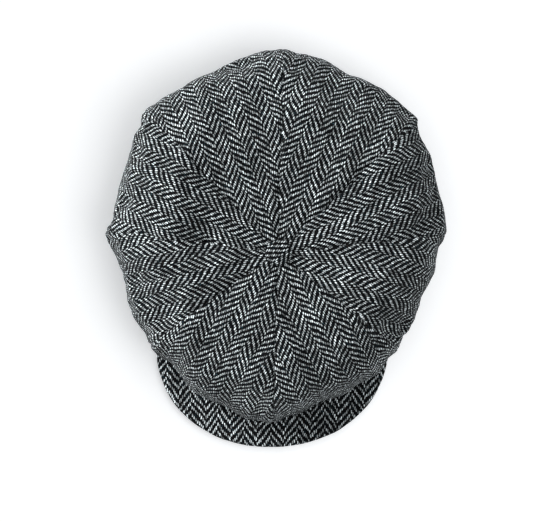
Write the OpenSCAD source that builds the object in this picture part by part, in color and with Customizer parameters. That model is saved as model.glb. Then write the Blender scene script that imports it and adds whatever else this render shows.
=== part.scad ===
// Newsboy cap: eight tweed crown panels, headband, lining, covered button and a
// stiffened peak that snaps under the front of the crown.
// The cap stands on its headband. +X is the wearer's right as seen from above, +Y is the
// back, and the origin is the middle of the footprint.

/* [Crown] */
// Height of the crown's dome before the button draws in its middle
crown_top = 103; // [97:1:107]
// Depth that the button draws in the crown's middle
crown_dip = 13; // [8:1:15]
// Radius about the button of the hollow that this makes
dip_reach = 118; // [100:1:124]
// Reach of the crown behind the button
crown_back = 164; // [155:1:172]
// Half the crown's width across its side seams
crown_side = 134; // [128:1:140]
// Reach of the crown in front of the button
crown_front = 138; // [134:1:142]
// Height of the crown's widest line at the back
back_rim = 50; // [46:1:54]
// Height of the crown's widest line at the sides
side_rim = 45; // [42:1:50]
// Height of the front fold that lies over the peak
front_fold = 22; // [22:1:26]
// Thickness of the tweed with its interlining
cloth = 2.2; // [1.8:0.1:2.6]
// Gap left along each crown seam
seam_gap = 0.3; // [0.2:0.05:0.5]

/* [Headband] */
// Outside length of the headband's oval
band_length = 212; // [206:1:216]
// Outside width of the headband's oval
band_width = 176; // [170:1:180]
// Height of the headband
band_height = 30; // [28:1:32]
// Rise of the headband's lower edge at the front
front_rise = 6.5; // [4:0.5:8]
// Thickness of the headband's tweed
band_cloth = 2; // [1.6:0.1:2.4]
// Thickness of the headband's canvas
canvas = 1; // [0.8:0.1:1.2]
// Thickness of the leather sweatband
leather = 1.2; // [1:0.1:1.4]

/* [Peak] */
// Reach of the peak in front of the button
peak_reach = 156; // [154:0.5:158]
// Width of the peak
peak_width = 185; // [180:1:190]
// Thickness of the covered peak
peak_thick = 4.6; // [4.2:0.1:5]
// Height of the peak's underside in the middle of its seam
peak_seam_rise = 10; // [9:0.5:11]
// Height of the peak's underside at the middle of its front edge
peak_tip_rise = 9.5; // [9:0.5:11]
// Running gap between the peak and the headband
peak_gap = 0.9; // [0.7:0.1:1.2]

/* [Button and press stud] */
// Diameter of the covered button
button_d = 22; // [20:0.5:25]
// Height of the covered button's dome
button_h = 6.5; // [5:0.5:8]
// Diameter of the press stud
snap_d = 11; // [9:0.5:12]
// Distance of the press stud behind the crown's front fold
snap_back = 11; // [10:0.5:14]

/* [Lining] */
// Distance of the lining inside the crown's outer surface
lining_depth = 6; // [5.5:0.5:8]
// Thickness of the satin lining
satin = 0.8; // [0.6:0.1:1]
// Share of the crown's reach that the lining's flat tip covers
tip_share = 0.78; // [0.7:0.02:0.85]

/* [Hidden] */

gap = 0.25;
button_y = (peak_reach - crown_back) / 2;
button = [0, button_y];
crown_mid = crown_top - crown_dip;
band_y = button_y + 2;
shank_hole = 4;
shank_r = 1.4;

// Each crown seam on the right half: where it meets the widest line, that line's height,
// how far the cloth sags below it, and the roundness of the top along and across.
SEAMS = [
    [[0, crown_back], back_rim, 18, 3.2, 2.5],
    [[0.82 * crown_side, 0.676 * crown_back], back_rim, 18, 3.2, 2.5],
    [[crown_side, 0.11 * crown_back], side_rim, 16, 3.2, 2.5],
    [[0.75 * crown_side, -0.55 * crown_front], 32, 11, 2.8, 2.3],
    [[0, -crown_front], front_fold, 4.5, 2.3, 2.1]
];
// How far each panel's outer edge bows out from the straight line between its seams
BOWS = [5.5, 3, 3, 6.5];

tweed = "#6f7173";
tweed_dark = "#55575a";
satin_grey = "#3c4046";

function lerp(a, b, f) = a + (b - a) * f;
function ease(f) = f * f * (3 - 2 * f);
function unit(v) = v / norm(v);
function mirrored(p) = [-p[0], p[1]];
function seam(i) = i <= 4 ? SEAMS[i % 8] : let (s = SEAMS[8 - i])
    [mirrored(s[0]), s[1], s[2], s[3], s[4]];
function next_seam(i) = seam((i + 1) % 8);
function bow(i) = i < 4 ? BOWS[i] : BOWS[7 - i];

// Point of the crown's widest line on panel i, at share u from its first seam
function rim_point(i, u) =
    let (a = seam(i)[0], b = next_seam(i)[0], d = b - a,
        out = [-d[1], d[0]] / norm(d), m = (a + b) / 2 + 2 * bow(i) * out)
    button + (1 - u) * (1 - u) * a + 2 * u * (1 - u) * m + u * u * b;

// Value k of the seam table, eased across the panel
function across(i, u, k) = lerp(seam(i)[k], next_seam(i)[k], ease(u));

// Point of the headband's oval in the direction of p, moved in by inset
function band_point(p, inset) =
    let (d = p - [0, band_y], a = band_width / 2 - inset, b = band_length / 2 - inset)
    [0, band_y] + d / norm([d[0] / a, d[1] / b]);

// Depth of the hollow about the button at radius r
function hollow(r) = crown_dip * ease(max(0, 1 - r / dip_reach));

// Point on the crown's top: turn runs from 0 at the button to 90 at the widest line
function top_point(i, u, depth, turn) =
    let (e = rim_point(i, u), reach = norm(e - button) - depth, z = across(i, u, 1),
        s = pow(sin(turn), 2 / across(i, u, 3)), h = pow(cos(turn), 2 / across(i, u, 4)),
        p = button + unit(e - button) * reach * s)
    [p[0], p[1], z + (crown_top - depth - z) * h - hollow(reach * s)];

// Turn at which the crown's top passes radius r
function turn_at(i, u, depth, r) =
    asin(pow(r / (norm(rim_point(i, u) - button) - depth), across(i, u, 3) / 2));

// Height of the crown's underside at share w of its way from the widest line to the band
seat = 0.7;
function under_height(z, sag, depth, w) =
    z + (band_height + seat + depth - z) * pow(w, 2.5)
    - (sag - depth / 2) * sin(180 * w);

function under_point(i, u, depth, w) =
    let (e = rim_point(i, u), rim = e - unit(e - button) * depth,
        p = lerp(rim, band_point(e, -seam_gap), 1 - cos(90 * w)))
    [p[0], p[1], under_height(across(i, u, 1), across(i, u, 2), depth, w)];

// Last point of a crown line, turned in over the top of the headband
function seat_point(i, u, depth, inset) =
    let (p = band_point(rim_point(i, u), inset))
    [p[0], p[1], band_height + seat + depth];

// One line of the crown from the button over the widest line to the headband
top_rows = 11;
under_rows = 6;
function crown_line(i, u, depth, inset, start_r) =
    let (first = turn_at(i, u, depth, start_r))
    concat(
        [for (k = [0 : top_rows]) top_point(i, u, depth, lerp(first, 90, k / top_rows))],
        [for (k = [1 : under_rows]) under_point(i, u, depth, k / under_rows)],
        [seat_point(i, u, depth, inset)]);

// Moves a line sideways off the seam, towards the middle of its panel
function off_seam(i, u, line) =
    let (d = unit(next_seam(i)[0] - seam(i)[0]) * seam_gap * (0.5 - u))
    [for (p = line) [p[0] + d[0], p[1] + d[1], p[2]]];

// A solid skin between two sheets. Each ring is an outer line followed by the inner line
// turned round. The ends are closed unless the rings join up in a loop.
module skin(rings, loop = false) {
    n = len(rings[0]);
    m = len(rings);
    half = n / 2;
    sides = [for (j = [0 : m - (loop ? 1 : 2)]) for (k = [0 : n - 1])
        let (a = j * n + k, b = j * n + (k + 1) % n,
            c = ((j + 1) % m) * n + (k + 1) % n, d = ((j + 1) % m) * n + k)
        each [[a, b, c], [a, c, d]]];
    ends = loop ? [] : [for (j = [0, m - 1]) for (k = [0 : half - 2])
        let (a = j * n + k, b = a + 1, c = j * n + n - 2 - k, d = c + 1)
        each (j == 0 ? [[a, c, b], [a, d, c]] : [[a, b, c], [a, c, d]])];
    polyhedron([for (r = rings) each r], concat(sides, ends), convexity = 10);
}

function reversed(list) = [for (k = [len(list) - 1 : -1 : 0]) list[k]];

// One crown panel, between seam i and the next
panel_cols = 5;
module panel(i) {
    rings = [for (c = [0 : panel_cols]) let (u = c / panel_cols)
        concat(off_seam(i, u, crown_line(i, u, 0, 1.6, shank_hole)),
            reversed(off_seam(i, u, crown_line(i, u, cloth, 1.6, shank_hole))))];
    skin(rings);
}

module panel_back_right() { color(tweed) panel(0); }
module panel_side_back_right() { color(tweed) panel(1); }
module panel_side_front_right() { color(tweed) panel(2); }
module panel_front_right() { color(tweed) panel(3); }
module panel_front_left() { color(tweed) panel(4); }
module panel_side_front_left() { color(tweed) panel(5); }
module panel_side_back_left() { color(tweed) panel(6); }
module panel_back_left() { color(tweed) panel(7); }

// Half section of a dome that turns in at its foot, between two offsets from its surface
foot = 1.2;
function dome_line(offset) = concat(
    [for (a = [90 : -15 : 0])
        [(button_d / 2 - offset) * cos(a), foot + (button_h - foot - offset) * sin(a)]],
    [[button_d / 2 - offset - 0.6, 0.1]]);
module dome(outer, inner) {
    translate([0, button_y, crown_mid + button_gap])
        rotate_extrude($fn = 64)
            polygon(concat(dome_line(outer), reversed(dome_line(inner))));
}

button_gap = 0.8;
button_cloth = 1.2;
button_metal = 0.6;
module button_cover() { color(tweed) dome(0, button_cloth); }
module button_shell() {
    color("silver") dome(button_cloth + 0.1, button_cloth + 0.1 + button_metal);
}

// Back plate with the shank that goes down through the crown into the patch
back_plate_r = 8.2;
patch_thick = 0.8;
patch_r = 12;
patch_top = crown_mid - cloth - 0.8;
module button_back() {
    washer_top = patch_top - patch_thick - 0.05;
    color("silver") translate([0, button_y, 0]) {
        translate([0, 0, crown_mid + button_gap]) cylinder(r = back_plate_r, h = 0.7, $fn = 64);
        translate([0, 0, washer_top - 0.6])
            cylinder(r = shank_r, h = crown_mid + button_gap + 0.9 - washer_top, $fn = 32);
        translate([0, 0, washer_top - 0.6]) cylinder(r = 3.2, h = 0.6, $fn = 32);
    }
}

// Round stay under the point where the panels meet
module crown_patch() {
    color(tweed_dark) translate([0, button_y, patch_top - patch_thick])
        difference() {
            cylinder(r = patch_r, h = patch_thick, $fn = 64);
            translate([0, 0, -1]) cylinder(r = shank_r + 0.1, h = patch_thick + 2, $fn = 32);
        }
}

// Oval of the headband moved in by inset, or a stretch of it between two angles
oval_points = 72;
function oval(inset, from = 0, to = 360, steps = oval_points) =
    [for (k = [0 : steps - (to - from == 360 ? 1 : 0)])
        let (a = lerp(from, to, k / steps))
        [(band_width / 2 - inset) * cos(a), band_y + (band_length / 2 - inset) * sin(a)]];
module oval_ring(inset, thick) {
    difference() {
        polygon(oval(inset));
        polygon(oval(inset + thick));
    }
}

// Takes away what lies below the headband's lower edge where that edge rises to the front
rise_y = band_y - band_length * 0.22;
module front_rise_cut() {
    span = rise_y - (band_y - band_length / 2);
    r = (span * span + front_rise * front_rise) / (2 * front_rise);
    difference() {
        translate([-band_width, rise_y - 2 * span, -1])
            cube([2 * band_width, 2 * span, front_rise * 4]);
        translate([-band_width - 1, rise_y, r]) rotate([0, 90, 0])
            cylinder(r = r, h = 2 * band_width + 2, $fn = 180);
    }
}

module band_layer(inset, thick, low, high) {
    difference() {
        translate([0, 0, low]) linear_extrude(high - low) oval_ring(inset, thick);
        translate([0, 0, low]) front_rise_cut();
    }
}

canvas_inset = band_cloth + gap;
leather_inset = canvas_inset + canvas + gap;
sweat_top = band_height + 4;
module headband_outer() { color(tweed) band_layer(0, band_cloth, 0, band_height); }
module headband_canvas() {
    color("#d8d2c4") band_layer(canvas_inset, canvas, 1.5, band_height - 1.5);
}
module sweatband() { color("#2b2523") band_layer(leather_inset, leather, 0.6, sweat_top); }

// Leather tab that covers the joint of the sweatband at the back
module sweatband_tab() {
    tab_inset = leather_inset + leather + 0.15;
    color("#2b2523") translate([0, 0, 5]) linear_extrude(22)
        polygon(concat(oval(tab_inset, 85.5, 94.5, 6),
            reversed(oval(tab_inset + 0.9, 85.5, 94.5, 6))));
}

// Lining: a side wall up from the sweatband round the crown, and a tip across the top
lining_cols = 4;
lining_top_rows = 5;
lining_under_rows = 5;
tip_rows = 6;
function tip_turn(i, u, depth) =
    turn_at(i, u, depth, tip_share * norm(rim_point(i, u) - button));
lining_inset = leather_inset + 0.2;
function lining_side_line(i, u, depth) =
    let (first = tip_turn(i, u, depth) + 0.4)
    concat(
        [for (k = [0 : lining_top_rows])
            top_point(i, u, depth, lerp(first, 90, k / lining_top_rows))],
        [for (k = [1 : lining_under_rows]) under_point(i, u, depth, k / lining_under_rows)],
        [seat_point(i, u, depth, lining_inset)]);
module lining_side() {
    rings = [for (i = [0 : 7]) for (c = [0 : lining_cols - 1]) let (u = c / lining_cols)
        concat(lining_side_line(i, u, lining_depth),
            reversed(lining_side_line(i, u, lining_depth + satin)))];
    color(satin_grey) skin(rings, loop = true);
}

// The tip is built in rows outwards from its middle, on two sheets
module lining_tip() {
    cols = 8 * lining_cols;
    sheet = function (depth) [for (k = [1 : tip_rows]) for (i = [0 : 7])
        for (c = [0 : lining_cols - 1]) let (u = c / lining_cols)
        top_point(i, u, depth, tip_turn(i, u, depth) * k / tip_rows)];
    upper = sheet(lining_depth);
    lower = sheet(lining_depth + satin);
    n = len(upper);
    fan = [for (c = [0 : cols - 1]) let (d = (c + 1) % cols)
        each [[2 * n, c, d], [2 * n + 1, n + d, n + c]]];
    rows = [for (k = [0 : tip_rows - 2]) for (c = [0 : cols - 1])
        let (a = k * cols + c, b = k * cols + (c + 1) % cols, e = a + cols, f = b + cols)
        each [[a, e, f], [a, f, b], [n + a, n + f, n + e], [n + a, n + b, n + f]]];
    edge = [for (c = [0 : cols - 1])
        let (a = n - cols + c, b = n - cols + (c + 1) % cols)
        each [[a, n + a, n + b], [a, n + b, b]]];
    centres = [for (depth = [lining_depth, lining_depth + satin])
        [0, button_y, crown_mid - depth]];
    color(satin_grey)
        polyhedron(concat(upper, lower, centres), concat(fan, rows, edge), convexity = 4);
}

// Plain woven label under the lining's tip
label_w = 52;
label_l = 26;
label_back = 20;
label_thick = 0.5;
function lining_height(back) = let (depth = lining_depth + satin)
    top_point(0, 0, depth, turn_at(0, 0, depth, back))[2];
module lining_label() {
    near = lining_height(label_back);
    far = lining_height(label_back + label_l);
    color("#b9b4a8") translate([0, button_y + label_back, near - 2 * gap - label_thick])
        rotate([atan((far - near) / label_l), 0, 0])
            translate([-label_w / 2, 0, 0]) cube([label_w, label_l, label_thick]);
}

// Peak. Share u runs from the left horn at -1 to the right horn at 1, and share w from
// the seam at the headband to the outer edge.
horn_y = band_y - band_length * 0.21;
peak_mid_y = button_y - 0.48 * peak_reach;
peak_round = 2.1;
horn_height = 2.5;
edge_turn = 118.5;
peak_cols = 24;
inner_turn = acos((band_y - horn_y) / (band_length / 2 + peak_gap));
function peak_inner(u) =
    [(band_width / 2 + peak_gap) * sin(inner_turn * u),
        band_y - (band_length / 2 + peak_gap) * cos(inner_turn * u)];
function peak_outer(u) =
    let (a = edge_turn * u, front = peak_mid_y - button_y + peak_reach,
        s = pow(abs(sin(a)), 2 / peak_round), c = pow(abs(cos(a)), 2 / peak_round))
    [peak_width / 2 * s * sign(u),
        cos(a) > 0 ? peak_mid_y - front * c : peak_mid_y + 0.83 * front * c];
function peak_span(u) = norm(peak_outer(u) - peak_inner(u));
function peak_point(u, w, h) =
    let (p = lerp(peak_inner(u), peak_outer(u), w), arch = 1 - u * u,
        z = horn_height + arch * (lerp(peak_seam_rise, peak_tip_rise, w) - horn_height))
    [p[0], p[1], z + h];

// Covers wrap the board: a flat sheet, then a rim that turns over its outer edge.
// up is 1 for the top cover, whose heights count from above, and 0 for the under cover.
cover = 1.3;
function cover_height(h, up) = up ? peak_thick - h : h;
function cover_outer(u, up) =
    let (e = min(0.3, cover / peak_span(u)))
    [for (q = [[0, 0], [0.3, 0], [0.6, 0], [1 - e, 0], [1, 0.8], [1, peak_thick / 2 - 0.1]])
        peak_point(u, q[0], cover_height(q[1], up))];
function cover_inner(u, up) =
    let (e = min(0.3, cover / peak_span(u)))
    [for (q = [[0, cover], [0.3, cover], [0.6, cover], [1 - 2 * e, cover],
            [1 - 1.2 * e, cover + 0.4], [1 - e, peak_thick / 2 - 0.1]])
        peak_point(u, q[0], cover_height(q[1], up))];
module peak_cover(up) {
    rings = [for (c = [peak_cols / 2 : -1 : -peak_cols / 2]) let (u = c / (peak_cols / 2))
        up ? concat(cover_outer(u, up), reversed(cover_inner(u, up)))
            : concat(cover_inner(u, up), reversed(cover_outer(u, up)))];
    skin(rings);
}
module peak_top_cover() { color(tweed) peak_cover(true); }
module peak_under_cover() { color(tweed_dark) peak_cover(false); }

module peak_board() {
    reach = 0.9;
    low = cover + 0.2;
    high = peak_thick - cover - 0.2;
    shares = function (u) let (e = min(0.3, cover / peak_span(u))) [0.04, 0.35, 0.65, 1 - 2.4 * e];
    rings = [for (c = [peak_cols / 2 : -1 : -peak_cols / 2])
        let (u = reach * c / (peak_cols / 2))
        concat([for (w = shares(u)) peak_point(u, w, high)],
            reversed([for (w = shares(u)) peak_point(u, w, low)]))];
    color("#20242a") skin(rings);
}

// Press stud: the ball half stands on the peak, the socket half hangs under the fold
snap_y = button_y - crown_front + snap_back;
snap_share = (peak_inner(0)[1] - snap_y) / peak_span(0);
snap_peak_z = peak_point(0, snap_share, peak_thick)[2];
ball_r = 1.8;
snap_fold_z = let (front = seam(4), rim_y = button_y - crown_front,
        w = acos(1 - (snap_y - rim_y) / (band_point([0, -500], 1.6)[1] - rim_y)) / 90)
    under_height(front[1], front[2], 0, w);
module snap_stud() {
    color("#8d8f92") translate([0, snap_y, snap_peak_z + 0.1]) {
        cylinder(d = snap_d, h = 0.8, $fn = 48);
        cylinder(r = ball_r, h = 2.2, $fn = 32);
    }
}
module snap_socket() {
    socket_top = snap_fold_z - 0.9;
    socket_h = socket_top - snap_peak_z - 1.2;
    color("#8d8f92") translate([0, snap_y, socket_top - socket_h])
        difference() {
            cylinder(d = snap_d, h = socket_h, $fn = 48);
            translate([0, 0, -1]) cylinder(r = ball_r + 0.5, h = socket_h + 0.5, $fn = 32);
        }
}

panel_back_right();
panel_side_back_right();
panel_side_front_right();
panel_front_right();
panel_front_left();
panel_side_front_left();
panel_side_back_left();
panel_back_left();
button_cover();
button_shell();
button_back();
crown_patch();
headband_outer();
headband_canvas();
sweatband();
sweatband_tab();
lining_tip();
lining_side();
lining_label();
peak_top_cover();
peak_under_cover();
peak_board();
snap_stud();
snap_socket();
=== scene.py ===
"""Newsboy cap in herringbone tweed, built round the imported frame.

The crown's eight panels, the headband, the peak's covers and the lining are sheets of
cloth laid on one shared crown form, relaxed by a short cloth simulation, and dressed with
procedural finishes. All lengths are metres and all places come from the frame's boxes.
"""

from __future__ import annotations

import logging
import math
from dataclasses import dataclass, field, replace
from enum import Enum
from typing import Callable, Sequence

import bpy
import numpy as np
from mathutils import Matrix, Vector, noise

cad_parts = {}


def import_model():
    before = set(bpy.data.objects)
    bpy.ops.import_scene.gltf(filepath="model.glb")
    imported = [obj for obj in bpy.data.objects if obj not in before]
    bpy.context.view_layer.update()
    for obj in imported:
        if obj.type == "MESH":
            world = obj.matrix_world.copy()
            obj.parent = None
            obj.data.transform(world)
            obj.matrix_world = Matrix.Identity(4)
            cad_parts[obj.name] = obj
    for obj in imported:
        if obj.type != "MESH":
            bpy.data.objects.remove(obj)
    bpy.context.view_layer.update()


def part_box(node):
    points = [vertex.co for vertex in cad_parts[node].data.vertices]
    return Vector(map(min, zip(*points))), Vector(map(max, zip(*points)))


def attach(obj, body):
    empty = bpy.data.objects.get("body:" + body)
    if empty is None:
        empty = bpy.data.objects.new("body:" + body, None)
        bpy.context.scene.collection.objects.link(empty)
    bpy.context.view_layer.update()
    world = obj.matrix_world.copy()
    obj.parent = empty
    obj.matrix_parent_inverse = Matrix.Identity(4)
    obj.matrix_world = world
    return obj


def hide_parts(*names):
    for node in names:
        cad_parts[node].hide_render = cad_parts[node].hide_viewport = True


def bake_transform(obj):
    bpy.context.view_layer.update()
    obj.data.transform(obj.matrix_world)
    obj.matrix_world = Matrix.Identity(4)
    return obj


LOG = logging.getLogger("newsboy_cap")
MM = 0.001


class Body(Enum):
    """The two bodies of the frame that pieces ride on."""

    CAP = "cap"
    PEAK = "peak"


class Held(Enum):
    """How a sheet of cloth is held in its place."""

    STRETCHED = "stretched"
    FOLDED = "folded"
    HUNG = "hung"


# ---------------------------------------------------------------------------
# Small tools
# ---------------------------------------------------------------------------


def unit(vectors: np.ndarray) -> np.ndarray:
    """Vectors scaled to length one along their last axis."""
    return vectors / np.maximum(np.linalg.norm(vectors, axis=-1, keepdims=True), 1e-12)


def ease(share: np.ndarray) -> np.ndarray:
    """Smooth step of a share from 0 to 1."""
    return share * share * (3 - 2 * share)


def bump_at(distance: np.ndarray, width: float) -> np.ndarray:
    """Gaussian of a distance, 1 at zero and fading over width."""
    return np.exp(-((distance / width) ** 2))


def soft_noise(points: np.ndarray, size: float, seed: float) -> np.ndarray:
    """Smooth noise in about -1 to 1 at each point.

    Args:
        points: Places, with three values along the last axis.
        size: Length over which the noise changes.
        seed: Offset that gives another pattern.

    Returns:
        One value for each point.
    """
    flat = points.reshape(-1, 3) / size + seed
    values = [noise.noise(Vector(p)) for p in flat]
    return np.array(values).reshape(points.shape[:-1])


def grid_normals(points: np.ndarray, closed: bool = False) -> np.ndarray:
    """Unit normals of a grid of points, on the side of rows cross columns.

    Args:
        points: Grid of places, rows by columns by three.
        closed: Whether the last column joins the first.

    Returns:
        Grid of normals of the same shape.
    """
    if closed:
        wide = np.concatenate([points[:, -1:], points, points[:, :1]], axis=1)
        across = (wide[:, 2:] - wide[:, :-2]) / 2
    else:
        across = np.gradient(points, axis=1)
    down = np.gradient(points, axis=0)
    return unit(np.cross(down, across))


def deselect_all() -> None:
    """Leaves nothing selected and no object in edit mode."""
    if bpy.context.object and bpy.context.object.mode != "OBJECT":
        bpy.ops.object.mode_set(mode="OBJECT")
    bpy.ops.object.select_all(action="DESELECT")


def make_active(piece: bpy.types.Object) -> None:
    """Makes one object the only selected one and the active one."""
    deselect_all()
    piece.select_set(True)
    bpy.context.view_layer.objects.active = piece


def apply_modifiers(piece: bpy.types.Object) -> None:
    """Applies every modifier of a piece in order."""
    make_active(piece)
    for modifier in list(piece.modifiers):
        bpy.ops.object.modifier_apply(modifier=modifier.name)


def settle(piece: bpy.types.Object) -> None:
    """Moves a piece's place, turn and scale into its mesh."""
    make_active(piece)
    bpy.ops.object.transform_apply(location=True, rotation=True, scale=True)


def shade(piece: bpy.types.Object, angle: float = 180.0) -> None:
    """Shades a piece smooth, with edges sharper than angle kept crisp."""
    make_active(piece)
    if angle >= 180:
        bpy.ops.object.shade_smooth()
    else:
        bpy.ops.object.shade_smooth_by_angle(angle=math.radians(angle))


# ---------------------------------------------------------------------------
# Node graphs and finishes
# ---------------------------------------------------------------------------


class Graph:
    """A material's node tree with short calls for the nodes that the finishes use."""

    def __init__(self, name: str, colour: Sequence[float]) -> None:
        """Starts a material with one Principled shader.

        Args:
            name: The material's name.
            colour: Colour shown in the viewport.
        """
        self.material = bpy.data.materials.new(name)
        self.material.use_nodes = True
        self.material.diffuse_color = (*colour, 1.0)
        self.nodes = self.material.node_tree.nodes
        self.links = self.material.node_tree.links
        self.shader = self.nodes["Principled BSDF"]

    def feed(self, socket: bpy.types.NodeSocket, value: object) -> None:
        """Links a socket to another, or sets its own value."""
        if isinstance(value, bpy.types.NodeSocket):
            self.links.new(value, socket)
        else:
            socket.default_value = value

    def math(self, operation: str, *values: object) -> bpy.types.NodeSocket:
        """A Math node of the operation on up to three values."""
        node = self.nodes.new("ShaderNodeMath")
        node.operation = operation
        for socket, value in zip(node.inputs, values):
            self.feed(socket, value)
        return node.outputs[0]

    def blend(self, share: object, low: object, high: object) -> bpy.types.NodeSocket:
        """A number between low and high, by share."""
        node = self.nodes.new("ShaderNodeMix")
        node.data_type = "FLOAT"
        for socket, value in zip(node.inputs[:1] + node.inputs[2:4], (share, low, high)):
            self.feed(socket, value)
        return node.outputs[0]

    def tint(self, share: object, low: object, high: object) -> bpy.types.NodeSocket:
        """A colour between low and high, by share."""
        node = self.nodes.new("ShaderNodeMix")
        node.data_type = "RGBA"
        self.feed(node.inputs["Factor"], share)
        for socket, value in zip(node.inputs[6:8], (low, high)):
            self.feed(socket, (*value, 1.0) if isinstance(value, tuple) else value)
        return node.outputs[2]

    def scaled(self, colour: object, amount: object) -> bpy.types.NodeSocket:
        """A colour times a number."""
        node = self.nodes.new("ShaderNodeVectorMath")
        node.operation = "SCALE"
        self.feed(node.inputs[0], colour)
        self.feed(node.inputs["Scale"], amount)
        return node.outputs[0]

    def vector(self, x: object, y: object, z: object = 0.0) -> bpy.types.NodeSocket:
        """A vector of three values."""
        node = self.nodes.new("ShaderNodeCombineXYZ")
        for socket, value in zip(node.inputs, (x, y, z)):
            self.feed(socket, value)
        return node.outputs[0]

    def parts(self, vector: bpy.types.NodeSocket) -> list[bpy.types.NodeSocket]:
        """The three values of a vector."""
        node = self.nodes.new("ShaderNodeSeparateXYZ")
        self.feed(node.inputs[0], vector)
        return list(node.outputs)

    def uv(self) -> bpy.types.NodeSocket:
        """The piece's flat cutting coordinates, in metres."""
        node = self.nodes.new("ShaderNodeUVMap")
        node.uv_map = "cloth"
        return node.outputs[0]

    def place(self) -> bpy.types.NodeSocket:
        """The piece's Object coordinates, in metres."""
        return self.nodes.new("ShaderNodeTexCoord").outputs["Object"]

    def noise(
        self, vector: object, scale: float, detail: float = 2.0, rough: float = 0.5
    ) -> bpy.types.NodeSocket:
        """Noise from 0 to 1, with scale in turns per metre."""
        node = self.nodes.new("ShaderNodeTexNoise")
        self.feed(node.inputs["Vector"], vector)
        node.inputs["Scale"].default_value = scale
        node.inputs["Detail"].default_value = detail
        node.inputs["Roughness"].default_value = rough
        return node.outputs["Fac"]

    def random(self, vector: object) -> bpy.types.NodeSocket:
        """One random number from 0 to 1 for each place."""
        node = self.nodes.new("ShaderNodeTexWhiteNoise")
        self.feed(node.inputs["Vector"], vector)
        return node.outputs["Value"]

    def range(
        self, value: object, low: float, high: float, out_low: float, out_high: float
    ) -> bpy.types.NodeSocket:
        """A value mapped from one range to another, clamped."""
        node = self.nodes.new("ShaderNodeMapRange")
        for socket, number in zip(node.inputs, (value, low, high, out_low, out_high)):
            self.feed(socket, number)
        return node.outputs[0]

    def relief(
        self, height: object, distance: float, strength: float = 1.0
    ) -> bpy.types.NodeSocket:
        """Bumps the shader's normal by a height from 0 to 1."""
        node = self.nodes.new("ShaderNodeBump")
        node.inputs["Strength"].default_value = strength
        node.inputs["Distance"].default_value = distance
        self.feed(node.inputs["Height"], height)
        self.feed(self.shader.inputs["Normal"], node.outputs[0])
        return node.outputs[0]

    def surface(self, **sockets: object) -> bpy.types.Material:
        """Sets the shader's sockets by name and returns the material.

        Args:
            **sockets: Socket names with underscores for spaces, and their values.

        Returns:
            The finished material.
        """
        for name, value in sockets.items():
            self.feed(self.shader.inputs[name.replace("_", " ")], value)
        return self.material


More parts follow.
